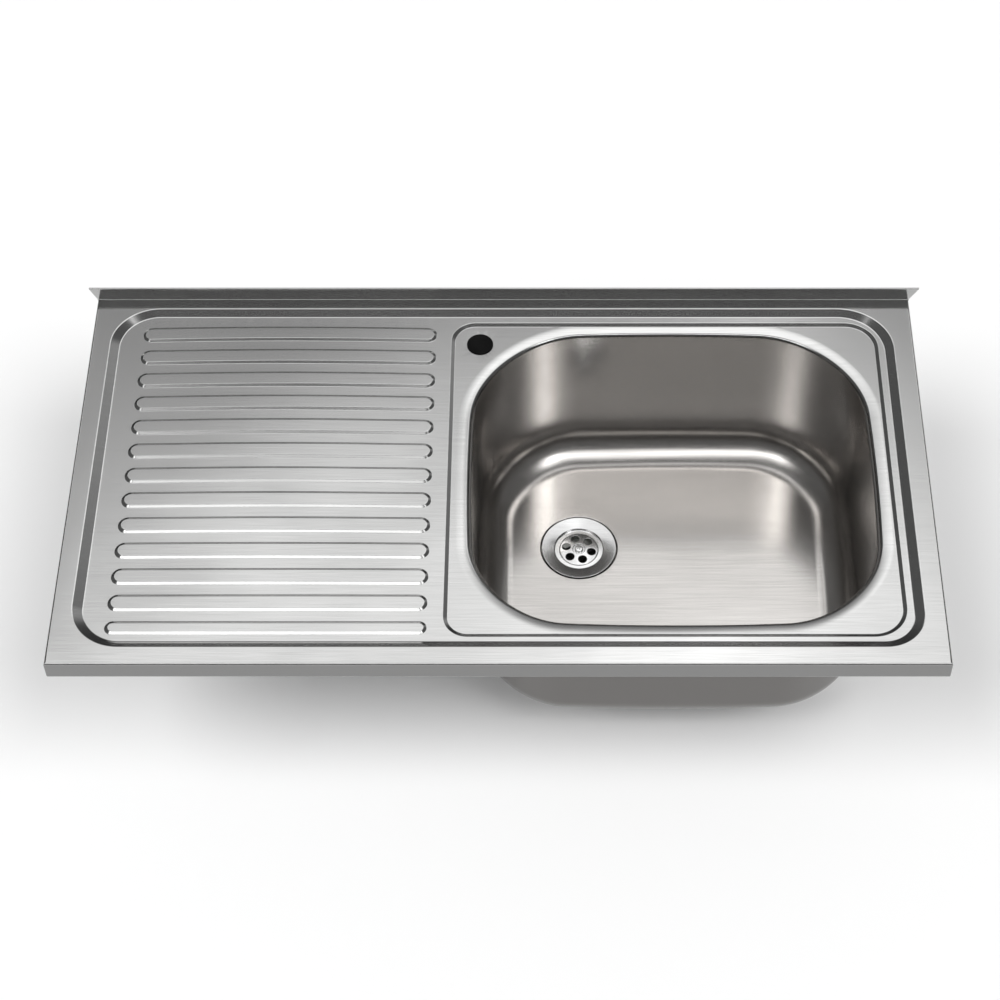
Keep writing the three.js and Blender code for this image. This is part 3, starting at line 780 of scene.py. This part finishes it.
    def thicken(self, thickness: float) -> None:
        """Gives the sheet a thickness, on the side away from its faces.

        Args:
            thickness: In millimetres.
        """
        points = np.vstack(self.points)
        normals = np.zeros_like(points)
        sides: dict[tuple[int, int], int] = {}
        for face in self.faces:
            corner = points[list(face)]
            if len(face) == 3:
                area = np.cross(corner[1] - corner[0], corner[2] - corner[0])
            else:
                area = np.cross(corner[2] - corner[0], corner[3] - corner[1])
            size = np.linalg.norm(area)
            if size > 0:
                normals[list(face)] += area / size**0.5
            for a, b in zip(face, face[1:] + face[:1]):
                sides[a, b] = 1
        lengths = np.linalg.norm(normals, axis=1, keepdims=True)
        normals /= np.where(lengths > 0, lengths, 1.0)
        count = len(points)
        self.points = [points, points - thickness * normals]
        self.count = 2 * count
        self.faces += [tuple(i + count for i in reversed(face)) for face in self.faces]
        for a, b in sides:
            if (b, a) not in sides:
                self.faces.append((b, a, a + count, b + count))

    def build(self, name: str, finish: Finish, sharp: float = 35.0) -> bpy.types.Object:
        """Makes the Blender object.

        Args:
            name: The object's name.
            finish: Its finish.
            sharp: Edges turned by more than this many degrees stay sharp.

        Returns:
            The object, in metres.
        """
        mesh = bpy.data.meshes.new(name)
        mesh.from_pydata((np.vstack(self.points) * MM).tolist(), [], self.faces)
        mesh.validate()
        mesh.polygons.foreach_set("use_smooth", [True] * len(mesh.polygons))
        mesh.set_sharp_from_angle(angle=math.radians(sharp))
        mesh.materials.append(finish.material())
        piece = bpy.data.objects.new(name, mesh)
        bpy.context.scene.collection.objects.link(piece)
        weighted = piece.modifiers.new("weighted_normals", "WEIGHTED_NORMAL")
        weighted.keep_sharp = True
        LOG.info("%s: %d faces", name, len(mesh.polygons))
        return piece


def dress(piece: bpy.types.Object, body: str, slot: str, *nodes: str) -> None:
    """Attaches a piece to the body it rides on and hides the nodes that it stands for."""
    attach(piece, body)
    if nodes:
        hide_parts(*nodes)


# ---------------------------------------------------------------- deck


@dataclass
class Deck:
    """The pressed top sheet: lips, rim, drainer, bowl surround and opening."""

    half_length: float = 500.0
    front: float = -6.0
    back: float = 534.0
    top: float = 26.0
    sheet: float = 0.8
    seat_flange: float = 12.0
    bend: float = 2.8
    tray: RoundedRect = RoundedRect(-478.0, 476.4, 17.2, 516.0, (47.0, 66.0, 58.0, 57.0))
    tray_depth: float = 5.0
    tray_run: Pair = (13.0, 11.0)
    step_radius: float = 3.0
    ribs: int = 13
    rib_pitch: float = 36.1
    rib_width: float = 19.4
    rib_height: float = 1.9
    rib_run: float = 4.2
    rib_ends: Pair = (-437.0, -82.0)
    rib_first: float = 43.2
    rib_bow: float = 2.5
    front_rib_trim: float = 5.0
    crown: float = 1.4
    surround: RoundedRect = RoundedRect(-63.0, 457.5, 34.0, 497.2, (40.0, 40.0, 30.0, 28.0))
    surround_depth: float = 2.4
    surround_run: float = 5.5
    opening: RoundedRect = RoundedRect(-27.5, 428.0, 62.5, 471.0, (106.0, 119.0, 125.0, 103.0), 9.0)
    roll: float = 4.0
    lead_in: float = 13.0
    lead_fall: float = 0.8
    collar: float = 1.0
    tap: tuple[float, float, float] = (-27.6, 463.6, 14.0)
    skin: Skin = field(default_factory=Skin)

    @property
    def floor(self) -> float:
        """Height of the drainer's floor."""
        return self.top - self.tray_depth

    @property
    def shelf(self) -> float:
        """Height of the bowl surround."""
        return self.floor - self.surround_depth

    def _crowned(self, loop: Loop) -> np.ndarray:
        """Returns how far the drainer's floor swells above its level.

        Args:
            loop: N by 2 points.

        Returns:
            N heights.
        """
        left, right = self.tray.left + 25, self.surround.left - 4
        across = np.clip((loop[:, 0] - left) / (right - left), 0, 1)
        along = np.clip((loop[:, 1] - self.tray.front - 12) / (self.tray.back - self.tray.front - 24), 0, 1)
        return self.crown * np.sin(math.pi * across) ** 2 * np.sin(math.pi * along**1.4) ** 1.2

    def _lips(self) -> np.ndarray:
        """Adds the return flange, the lips and the rim's bend, and returns the rim's edge loop."""
        rim = RoundedRect(-self.half_length, self.half_length, self.front, self.back, (1.5,) * 4)
        steps = dict(corner_steps=6, side_steps=30)
        bend = quarter_round(6)
        sections = [(rim.grown(-self.seat_flange), 0.0)]
        sections += [(rim.grown(self.bend * (sine - 1)), self.bend * (1 - cosine)) for sine, cosine in bend]
        height = self.top - self.bend
        sections += [(rim.grown(self.bend * (cosine - 1)), height + self.bend * sine) for sine, cosine in bend]
        return self.skin.band((outline.loop(**steps), level) for outline, level in sections)[1]

    def _step(
        self, outline: RoundedRect, top: float, fall: float, run: Pair, radius: float
    ) -> tuple[np.ndarray, np.ndarray]:
        """Adds a pressed step down into a recess.

        Args:
            outline: The crest's outer line.
            top: Height of the crest.
            fall: Depth of the recess.
            run: Width of the step along X and Y.
            radius: Radius of its crest and foot.

        Returns:
            The outer and inner loops.
        """
        profile = pressed_step(1.0, fall / run[1], radius / run[1])
        sections = [
            (outline.grown(-run[0] * across, -run[1] * across).loop(24, 30), top - run[1] * down)
            for across, down in profile
        ]
        return self.skin.band(sections)

    def _rib(self, index: int) -> np.ndarray:
        """Adds one rib and returns its foot's loop."""
        trim = 0.0 if index else self.front_rib_trim
        outline = Stadium(
            self.rib_ends[0],
            self.rib_ends[1],
            self.rib_first + index * self.rib_pitch + trim / 2,
            (self.rib_width - trim) / 2,
            self.rib_bow * index / (self.ribs - 1),
        )
        sections = []
        for across, down in reversed(pressed_step(self.rib_run, self.rib_height, 1.6, 4)):
            loop = outline.grown(across - self.rib_run / 2).loop(18, 26)
            sections.append((loop, self.floor + self.rib_height - down + self._crowned(loop)))
        foot, crest = self.skin.band(sections)
        self.skin.fill(crest)
        return foot

    def _opening(self) -> np.ndarray:
        """Adds the shelf's gentle lead-in, the rolled edge and the collar, and returns the outer loop."""
        mouth = self.opening.grown(self.roll)
        steps = 10
        sections = [
            (mouth.grown(self.lead_in * (1 - i / steps)), self.shelf - self.lead_fall * (i / steps) ** 2)
            for i in range(steps)
        ]
        start = math.atan(2 * self.lead_fall / self.lead_in)
        base = self.shelf - self.lead_fall
        for i in range(steps + 1):
            turn = start + (math.pi / 2 - start) * i / steps
            drop = self.roll * (math.cos(start) - math.cos(turn))
            sections.append((mouth.grown(-self.roll * (math.sin(turn) - math.sin(start))), base - drop))
        end = mouth.grown(-self.roll * (1 - math.sin(start)))
        sections.append((end, self.shelf - self.roll - self.collar))
        return self.skin.band((outline.loop(36, 30), level) for outline, level in sections)[0]

    def _tap_hole(self) -> np.ndarray:
        """Adds the tap hole's edge and returns its outer loop."""
        x, y, radius = self.tap
        sections = [(circle(x, y, radius + 0.8 * (1 - s), 64), self.shelf - 0.8 * (1 - c)) for s, c in quarter_round(3)]
        sections.append((circle(x, y, radius, 64), self.shelf - 1.4))
        return self.skin.band(sections)[0]

    def build(self) -> None:
        """Makes the sheet and the upstand and dresses them."""
        rim = self._lips()
        radius = self.step_radius
        tray = self._step(self.tray, self.top, self.tray_depth, self.tray_run, radius)
        self.skin.fill(rim, [tray[0]])
        run = (self.surround_run,) * 2
        shelf = self._step(self.surround, self.floor, self.surround_depth, run, 2.0)
        ribs = [self._rib(index) for index in range(self.ribs)]
        self.skin.fill(
            tray[1], [shelf[0], *ribs], 13.0, lambda loop: self.floor + self._crowned(loop)
        )
        level = self.shelf
        self.skin.fill(shelf[1], [self._opening(), self._tap_hole()], 0.0, lambda loop: np.full(len(loop), level))
        self.skin.thicken(self.sheet)
        dress(self.skin.build("deck_sheet", DECK_STEEL, 50.0), "sink", "deck_steel", "deck")
        Upstand(self).build()


@dataclass
class Upstand:
    """The folded strip that rises along the back edge, with flared ends."""

    deck: Deck
    height: float = 19.0
    thickness: float = 3.0
    flare: Pair = (8.6, 10.7)
    foot_radius: float = 0.9

    def _section(self) -> list[Pair]:
        """Returns the strip's closed section: distance before the back face, and height above the rim."""
        fold = self.thickness / 2
        section = [(0.0, -2.4), (self.thickness + self.foot_radius, -2.4)]
        for sine, cosine in quarter_round(4):
            section.append(
                (self.thickness + self.foot_radius * (1 - sine), self.foot_radius * (1 - cosine))
            )
        straight = self.height - fold
        section += [(self.thickness, straight * 0.34), (self.thickness, straight * 0.67)]
        for i in range(13):
            turn = math.pi * i / 12
            section.append((fold + fold * math.cos(turn), straight + fold * math.sin(turn)))
        return section

    def build(self) -> None:
        """Makes the strip and dresses it."""
        section = np.array(self._section())
        deck, half = self.deck, self.deck.half_length
        rise = np.clip(section[:, 1] / self.height, 0, 1)
        left, right = ([reach * share * rise for share in (0.0, 0.5, 1.0)] for reach in self.flare)
        lines = [-half - out for out in reversed(left)]
        lines += [np.full(len(section), x) for x in np.linspace(-half, half, 25)[1:-1]]
        lines += [half + out for out in right]
        y, z = deck.back + 0.02 - section[:, 0], deck.top + section[:, 1]
        skin = Skin()
        rings = [skin.ring(np.column_stack((x, y)), z) for x in lines]
        for before, after in zip(rings, rings[1:]):
            skin.bridge(after, before)
        skin.faces += [tuple(map(int, rings[0])), tuple(map(int, rings[-1][::-1]))]
        dress(skin.build("upstand", BACK_STEEL, 40.0), "sink", "deck_steel", "deck")


# ---------------------------------------------------------------- bowl


@dataclass
class Bowl:
    """The deep-drawn bowl, welded under the deck's collar, and the pad glued under its floor."""

    deck: Deck
    depth: float = 224.0
    shoulder_inset: float = 2.5
    shoulder: float = 3.0
    flare: float = 4.5
    draft: float = 3.0
    # The bottom rounding's parts: the turn in degrees up to which each goes, and its radius.
    rounding: tuple[Pair, ...] = ((25.0, 34.0), (37.0, 72.0), (90.0, 40.0))
    back_room: float = 8.0
    fall: float = 2.5
    fall_reach: float = 260.0
    waste: Pair = (94.1, 317.4)
    seat_radius: float = 47.6
    seat_lip: float = 1.5
    seat_depth: float = 5.2
    hole: float = 31.0
    pad: RoundedRect = RoundedRect(185.0, 375.0, 143.75, 393.75, (12.0,) * 4)
    pad_thickness: float = 4.0

    @property
    def low(self) -> float:
        """Height of the floor beside the waste."""
        return self.deck.top - self.depth - self.fall

    def _level(self, points: Loop) -> np.ndarray:
        """Returns the height of the floor, which falls gently to the waste.

        Args:
            points: N by 2 points.

        Returns:
            N heights.
        """
        away = np.hypot(points[:, 0] - self.waste[0], points[:, 1] - self.waste[1])
        share = np.clip((away - self.seat_radius - self.seat_lip) / self.fall_reach, 0, 1)
        return self.low + self.fall * share * share * (3 - 2 * share)

    def _rounding(self) -> list[Pair]:
        """Returns the bottom rounding's section: distance out and height, from the floor up to the wall."""
        points, before = [(0.0, 0.0)], 0.0
        for end, radius in self.rounding:
            across, up = points[-1]
            first, last = math.radians(before), math.radians(end)
            for turn in np.linspace(first, last, 11)[1:]:
                out = radius * (math.sin(turn) - math.sin(first))
                points.append((across + out, up + radius * (math.cos(first) - math.cos(turn))))
            before = end
        return points

    def _wall(self) -> list[tuple[Loop, np.ndarray]]:
        """Returns the sections from the welded edge to the end of the bottom rounding."""
        deck = self.deck
        steps = dict(corner_steps=36, side_steps=30)
        top = deck.shelf - deck.roll - deck.collar - 0.3
        wall = deck.opening.grown(-self.shoulder_inset)
        wall = replace(wall, back=wall.back + self.back_room)
        floor = deck.top - self.depth
        sections = [(wall.grown(self.flare), top)]
        for sine, cosine in quarter_round(6):
            sections.append((wall.grown(self.shoulder * (1 - sine)), top - self.shoulder * (1 - cosine)))
        rounding = self._rounding()
        run, rise = rounding[-1]
        height = top - self.shoulder - floor - rise
        for share in np.linspace(0, 1, 15)[1:-1]:
            sections.append((wall.grown(-self.draft * share), top - self.shoulder - height * share))
        for across, up in reversed(rounding):
            sections.append((wall.grown(across - run - self.draft), floor + up))
        foot = sections[-1][0].loop(**steps)
        sink = self._level(foot) - floor
        loops = []
        for outline, level in sections:
            share = np.clip((floor + rise - level) / rise, 0, 1)
            loops.append((outline.loop(**steps), level + sink * share**2))
        return loops

    def _seat(self) -> list[tuple[Loop, float]]:
        """Returns the sections of the recess under the waste's flange."""
        x, y = self.waste
        lip, seat = self.seat_lip, self.low - self.seat_depth
        profile = [
            (self.seat_radius + lip * (1 - sine), self.low - lip * (1 - cosine)) for sine, cosine in quarter_round(4)
        ]
        profile += [(self.seat_radius, seat + 0.6), (self.seat_radius - 0.6, seat), (self.hole, seat)]
        return [(circle(x, y, radius, 112), height) for radius, height in profile]

    def build(self) -> None:
        """Makes the bowl and its pad and dresses them."""
        skin = Skin()
        foot = skin.band(self._wall())[1]
        edge = skin.band(self._seat())[0]
        skin.fill(foot, [edge], 12.0, self._level)
        skin.thicken(self.deck.sheet)
        dress(skin.build("bowl_shell", BOWL_STEEL, 50.0), "sink", "bowl_steel", "bowl_wall", "bowl_floor")
        self._make_pad()

    def _make_pad(self) -> None:
        """Makes the sound-deadening pad, which follows the floor's fall."""
        skin = Skin()
        drop = self.deck.sheet + 0.15
        round_edge = [(-1.2 * (1 - sine), 1.2 * (1 - cosine)) for sine, cosine in quarter_round(4)]
        loops = [(self.pad.loop(8, 12), 0.0)]
        loops += [(self.pad.grown(inset).loop(8, 12), up - self.pad_thickness) for inset, up in reversed(round_edge)]
        rings = [skin.ring(loop, self._level(loop) - drop + rise) for loop, rise in loops]
        for before, after in zip(rings, rings[1:]):
            skin.bridge(after, before)
        skin.fill(rings[0], (), 14.0, lambda loop: self._level(loop) - drop)
        skin.fill(rings[-1], (), 14.0, lambda loop: self._level(loop) - drop - self.pad_thickness, flip=True)
        dress(skin.build("bowl_pad_sheet", DEADENING), "sink", "deadening", "bowl_pad")


# ---------------------------------------------------------------- waste


@dataclass
class Waste:
    """The strainer waste: a dished flange with its grid, and the screw that holds it down."""

    place: tuple[float, float, float] = (94.1, 317.4, -200.5)
    edge: float = 46.5
    edge_height: float = 0.4
    recess: float = 30.6
    recess_top: float = -1.9
    channel: float = -5.0
    grid: float = 24.0
    grid_edge: float = -4.0
    dome_top: float = -2.5
    sheet: float = 0.8
    holes: int = 6
    hole_circle: float = 16.2
    hole: float = 5.45
    hole_turn: float = 46.0
    dimple: float = 7.7
    dimple_floor: float = -3.9
    bore: float = 3.3
    skirt: Pair = (28.7, 29.4)
    skirt_end: float = -9.0
    shank: float = 3.0
    shank_end: float = -31.8
    head: float = 5.3
    head_height: float = 2.4
    cross: tuple[float, float, float] = (0.6, 2.7, 1.3)
    cross_turn: float = 20.0

    def _dome(self, points: Loop) -> np.ndarray:
        """Returns the height of the domed grid.

        Args:
            points: N by 2 points.

        Returns:
            N heights.
        """
        away = np.hypot(points[:, 0] - self.place[0], points[:, 1] - self.place[1])
        return self.place[2] + self.dome_top + (self.grid_edge - self.dome_top) * (away / self.grid) ** 2

    def _ring_profile(self) -> list[Pair]:
        """Returns the flange's section from its outer edge to the grid's edge."""
        profile = [(self.edge, self.edge_height - 0.9)]
        profile += [(self.edge - 0.5 * (1 - c), self.edge_height - 0.5 * (1 - s)) for s, c in quarter_round(4)]
        start, lip = profile[-1], 0.8
        width, fall = start[0] - self.recess - lip, start[1] - self.recess_top
        for share in np.linspace(0, 1, 9)[1:]:
            profile.append((start[0] - width * share, start[1] - fall * (0.75 * share + 0.25 * share * share)))
        corner = profile[-1][1]
        profile += [(self.recess + lip * (1 - s), corner - lip * (1 - c)) for s, c in quarter_round(5)[1:]]
        profile += [(self.recess - lip * (1 - c), self.channel + lip * (1 - s)) for s, c in quarter_round(4)]
        step = self.grid_edge - self.channel
        profile += [(self.grid + 1.0, self.channel), (self.grid + 0.65, self.channel + 0.1)]
        profile += [(self.grid + 0.35, self.channel + step * 0.55), (self.grid + 0.15, self.channel + step * 0.85)]
        return profile

    def _hole(self, skin: Skin, angle: float) -> np.ndarray:
        """Adds one hole's rounded edge and returns its outer loop.

        Args:
            skin: The flange's skin.
            angle: Where it lies, in degrees.

        Returns:
            The loop's numbers.
        """
        turn = math.radians(angle)
        x = self.place[0] + self.hole_circle * math.cos(turn)
        y = self.place[1] + self.hole_circle * math.sin(turn)
        sections = []
        for sine, cosine in quarter_round(4):
            loop = circle(x, y, self.hole + 0.5 * (1 - sine), 44)
            sections.append((loop, self._dome(loop) - 0.5 * (1 - cosine)))
        loop = circle(x, y, self.hole, 44)
        sections.append((loop, self._dome(loop) - 1.1))
        return skin.band(sections)[0]

    def _flange(self) -> None:
        """Makes the flange and its grid."""
        x, y, z = self.place
        skin = Skin()
        sections = [(circle(x, y, radius, 120), z + height) for radius, height in self._ring_profile()]
        inner = circle(x, y, self.grid - 0.2, 120)
        sections.append((inner, self._dome(inner)))
        rim = skin.band(sections)[1]
        holes = [self._hole(skin, self.hole_turn + 360 / self.holes * i) for i in range(self.holes)]
        edge = circle(x, y, self.dimple + 0.6, 64)
        base = float(self._dome(edge)[0]) - z
        profile = [(self.dimple + 0.6 * (1 - s), base - 0.6 * (1 - c)) for s, c in quarter_round(4)]
        profile += [(self.dimple - 0.1, self.dimple_floor + 0.3), (self.dimple - 0.4, self.dimple_floor)]
        profile += [(self.bore, self.dimple_floor)]
        dimple = skin.band((circle(x, y, radius, 64), z + height) for radius, height in profile)[0]
        skin.fill(rim, [*holes, dimple], 1.8, self._dome)
        skin.thicken(self.sheet)
        inner_edge, outer_edge = self.skirt
        top = self.channel - self.sheet
        end = self.skirt_end
        skin.turn([(inner_edge, end), (outer_edge, end), (outer_edge, top), (inner_edge, top)], self.place)
        dress(skin.build("flange", WASTE_STEEL, 40.0), "sink", "waste_steel", "waste_flange")

    def _cross(self, scale: float) -> Loop:
        """Returns the driver recess's outline.

        Args:
            scale: Its size.

        Returns:
            12 points, anticlockwise.
        """
        half, reach = self.cross[0] * scale, self.cross[1] * scale
        arm = np.array([(reach, -half), (reach, half), (half, half)])
        points = []
        for quarter in range(4):
            turn = math.radians(90 * quarter + self.cross_turn)
            spin = np.array([(math.cos(turn), math.sin(turn)), (-math.sin(turn), math.cos(turn))])
            points.append(arm @ spin)
        return np.vstack(points) + np.array(self.place[:2])

    def _screw(self) -> None:
        """Makes the screw with its cross recess."""
        x, y, z = self.place
        skin = Skin()
        seat = self.dimple_floor + 0.02
        top = seat + self.head_height
        profile = [(self.shank - 0.6, self.shank_end), (self.shank, self.shank_end + 0.8)]
        profile += [(self.shank, seat - 0.1), (self.shank, seat), (self.head - 0.2, seat), (self.head, seat + 0.2)]
        profile += [(self.head - 1.1 * (1 - c), top - 1.3 * (1 - s)) for s, c in quarter_round(6)]
        profile += [(self.head - 2.2, top + 0.12)]
        low, crown = skin.band((circle(x, y, radius, 64), z + height) for radius, height in profile)
        skin.fill(low, flip=True)
        depth = self.cross[2]
        steps = ((1.0, 0.0), (0.94, 0.15), (0.8, depth))
        mouth, foot = skin.band((self._cross(scale), z + top + 0.12 - down) for scale, down in steps)
        skin.fill(crown, [mouth])
        skin.fill(foot)
        dress(skin.build("screw", WASTE_STEEL, 30.0), "strainer_screw", "waste_steel", "waste_screw")

    def build(self) -> None:
        """Makes the visible pieces of the waste and dresses them."""
        self._flange()
        self._screw()


@dataclass
class HolePlug:
    """The black snap-in plug that closes the tap hole. Painted shade: its black stands in for the shade seen down an
    open tap hole.
    """

    place: tuple[float, float, float] = (-27.6, 463.6, 18.9)
    head: float = 16.0
    height: float = 1.4
    skirt: float = 13.7
    wall: float = 1.5
    depth: float = 9.0
    slots: int = 4
    slot_angle: float = 16.0

    def build(self) -> None:
        """Makes the plug and dresses it."""
        top = self.height
        profile = [(0.0, -0.1), (self.head - 0.3, -0.1), (self.head, 0.15)]
        profile += [(self.head - 1.0 * (1 - c), top - 1.0 * (1 - s)) for s, c in quarter_round(5)]
        profile += [(self.head - 3.0, top - 0.05), (self.head - 6.0, top - 0.2), (0.0, top - 0.25)]
        skin = Skin().turn(profile, self.place)
        inner, end = self.skirt - self.wall, -self.depth
        leg = [(inner, end), (self.skirt - 0.5, end), (self.skirt, end + 0.6), (self.skirt + 0.2, end + 2.2)]
        leg += [(self.skirt - 0.3, end + 3.6), (self.skirt - 0.3, 0.0), (inner, 0.0)]
        step = 360 / self.slots
        for index in range(self.slots):
            start = index * step + self.slot_angle / 2
            skin.turn(leg, self.place, 96, (start, start + step - self.slot_angle))
        dress(skin.build("hole_cap", BLACK_PLASTIC), "hole_plug", "black_plastic", "tap_hole_plug")


# ---------------------------------------------------------------- stage


@dataclass(frozen=True)
class SoftBox:
    """A soft-edged light in the sky, placed by its sideways part and by its rise from the wall behind."""

    level: float
    middle: float
    half_width: float
    start: float
    end: float
    blur: float = 5.0
    side_blur: float = 0.12
    slant: float = 0.0

    def light(self, across: Signal, rise: Signal) -> Signal:
        """Returns the light that comes from a direction.

        Args:
            across: The direction's sideways part, from -1 to 1.
            rise: Its angle over the wall behind, in radians, so that 90 degrees is straight up.

        Returns:
            The light's strength.
        """
        blur = math.radians(self.blur)
        aside = abs(across - self.middle)
        bend = aside * aside
        low = rise - (bend * bend * self.slant + math.radians(self.start))
        light = low.ramp(-blur, blur) * (rise - math.radians(self.end)).ramp(-blur, blur, 1.0, 0.0)
        edge = self.side_blur / 2
        return light * aside.ramp(self.half_width - edge, self.half_width + edge, 1.0, 0.0) * self.level


@dataclass
class Studio:
    """The pale floor, the sky that lights the sink, and the camera."""

    camera_place: tuple[float, float, float] = (50.83, -1443.53, 2223.81)
    camera_pitch: float = 52.868
    lens: float = 85.94
    shift: float = -0.04445
    floor_drop: float = 1.0
    # The first four light the flat sheet, the next three the bowl's bottom rounding, the rest the pressed steps.
    boxes: tuple[SoftBox, ...] = (
        SoftBox(1.02, 0.01, 0.42, 50.6, 90.0, blur=4.5, slant=34.0),
        SoftBox(0.40, 0.06, 0.06, 52.5, 77.0, blur=4.0, side_blur=0.06),
        SoftBox(0.16, 0.0, 0.34, 42.0, 51.5, blur=4.0),
        SoftBox(0.4, 0.09, 0.02, 45.5, 54.0, blur=3.0, side_blur=0.03),
        SoftBox(2.6, 0.01, 0.46, 112.0, 123.5, blur=3.0),
        SoftBox(3.2, 0.46, 0.08, 104.0, 122.0, blur=4.0, side_blur=0.06),
        SoftBox(2.4, -0.46, 0.08, 106.0, 122.0, blur=4.0, side_blur=0.06),
        SoftBox(1.5, 0.27, 0.06, 42.0, 55.0, blur=3.0, side_blur=0.05),
        SoftBox(1.5, -0.29, 0.05, 42.0, 55.0, blur=3.0, side_blur=0.05),
        SoftBox(0.26, 0.50, 0.13, 20.0, 50.0, blur=6.0),
    )
    wall: float = 0.06
    dim: float = 0.04
    even: float = 0.34
    lamp_strength: float = 1.46
    lamp_angle: float = 30.0
    lamp_rise: float = 56.0
    lamp_turns: Pair = (-58.0, 52.0)

    def build(self, low: float) -> None:
        """Makes the stage.

        Args:
            low: Height of the object's lowest point, in metres.
        """
        self._camera()
        self._floor(low - self.floor_drop * MM)
        self._lamps()
        self._sky()
        bpy.context.scene.view_settings.view_transform = "Standard"

    def _camera(self) -> None:
        """Places the camera where the photograph was taken from."""
        data = bpy.data.cameras.new("camera")
        data.lens = self.lens
        data.sensor_width = 36.0
        data.shift_x = self.shift
        data.clip_end = 100.0
        camera = bpy.data.objects.new("camera", data)
        camera.location = Vector(self.camera_place) * MM
        camera.rotation_euler = (math.radians(90 - self.camera_pitch), 0.0, 0.0)
        bpy.context.scene.collection.objects.link(camera)
        bpy.context.scene.camera = camera

    def _floor(self, height: float) -> None:
        """Adds a large pale floor.

        Args:
            height: Its height, in metres.
        """
        half = 12.0
        corners = [(-half, -half, height), (half, -half, height), (half, half, height), (-half, half, height)]
        mesh = bpy.data.meshes.new("floor")
        mesh.from_pydata(corners, [], [(0, 1, 2, 3)])
        material = bpy.data.materials.new("floor")
        material.use_nodes = True
        shader = Shader(material.node_tree)
        seen = shader.node("ShaderNodeLightPath", output="Is Camera Ray")
        for kind in ("Is Glossy Ray", "Is Transmission Ray"):
            seen = seen + shader.node("ShaderNodeLightPath", output=kind)
        pale = shader.node("ShaderNodeBsdfDiffuse", None, {"Color": (0.9, 0.9, 0.9, 1.0)})
        glow = shader.node("ShaderNodeEmission", None, {"Color": (1.0, 1.0, 1.0, 1.0), "Strength": 1.0})
        both = shader.node("ShaderNodeMixShader", None, {0: seen * 0.07, 1: pale, 2: glow})
        shader.node("ShaderNodeOutputMaterial", None, {"Surface": both})
        mesh.materials.append(material)
        floor = bpy.data.objects.new("floor", mesh)
        bpy.context.scene.collection.objects.link(floor)
        floor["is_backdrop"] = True

    def _lamps(self) -> None:
        """Adds the two wide front lamps that shape the shadow. The sky holds the sink's mirror images."""
        for turn in self.lamp_turns:
            data = bpy.data.lights.new("front_lamp", "SUN")
            data.energy = self.lamp_strength
            data.angle = math.radians(self.lamp_angle)
            lamp = bpy.data.objects.new("front_lamp", data)
            lamp.rotation_euler = (math.radians(90 - self.lamp_rise), 0.0, math.radians(turn))
            lamp.visible_glossy = False
            bpy.context.scene.collection.objects.link(lamp)

    def _sky(self) -> None:
        """Lights the sink with soft boxes in a dim room, paler towards the wall behind."""
        world = bpy.data.worlds.new("studio")
        bpy.context.scene.world = world
        world.use_nodes = True
        shader = Shader(world.node_tree)
        across, y, z = shader.parts(shader.node("ShaderNodeTexCoord", output="Generated"))
        rise = shader.node("ShaderNodeMath", {"operation": "ARCTAN2"}, {0: z, 1: y})
        level = rise.ramp(math.radians(5), math.radians(46)) * self.wall + self.dim
        for box in self.boxes:
            level = level + box.light(across, rise)
        plain = shader.node("ShaderNodeLightPath", output="Is Diffuse Ray")
        level = level + plain * (self.even - level)
        sky = shader.node("ShaderNodeBackground", None, {"Color": (1.0, 1.0, 1.0, 1.0), "Strength": level})
        shader.node("ShaderNodeOutputWorld", None, {"Surface": sky})


# ---------------------------------------------------------------- assembly


CLIPS = tuple(
    f"clip_{place}" for place in ("left_front", "left_back", "right_front", "right_back", "back_left", "back_right")
)
NODE_FINISHES: dict[Finish, tuple[str, ...]] = {
    RUBBER: ("waste_flange_seal", "waste_body_seal", "outlet_washer"),
    CUP_PLASTIC: ("waste_body",),
    WHITE_PLASTIC: ("outlet_nut",),
    BRASS: ("waste_insert", "earth_screw"),
    ZINC: ("drainer_rail_left", "drainer_rail_right", *CLIPS, "earth_tag"),
    DEADENING: ("drainer_pad",),
}


def main() -> None:
    """Loads the frame, finishes its kept nodes, builds every sub-assembly and stands the floor under the frame's lowest
    point.
    """
    logging.basicConfig(level=logging.INFO, format="%(message)s")
    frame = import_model()
    cad_box = [list(corner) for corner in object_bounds()]
    for finish, nodes in NODE_FINISHES.items():
        for node in nodes:
            data = frame["nodes"][node].data
            data.materials.clear()
            data.materials.append(finish.material())
    deck = Deck()
    deck.build()
    Bowl(deck).build()
    Waste().build()
    HolePlug().build()
    Studio().build(cad_box[0][2])


if __name__ == "__main__":
    main()
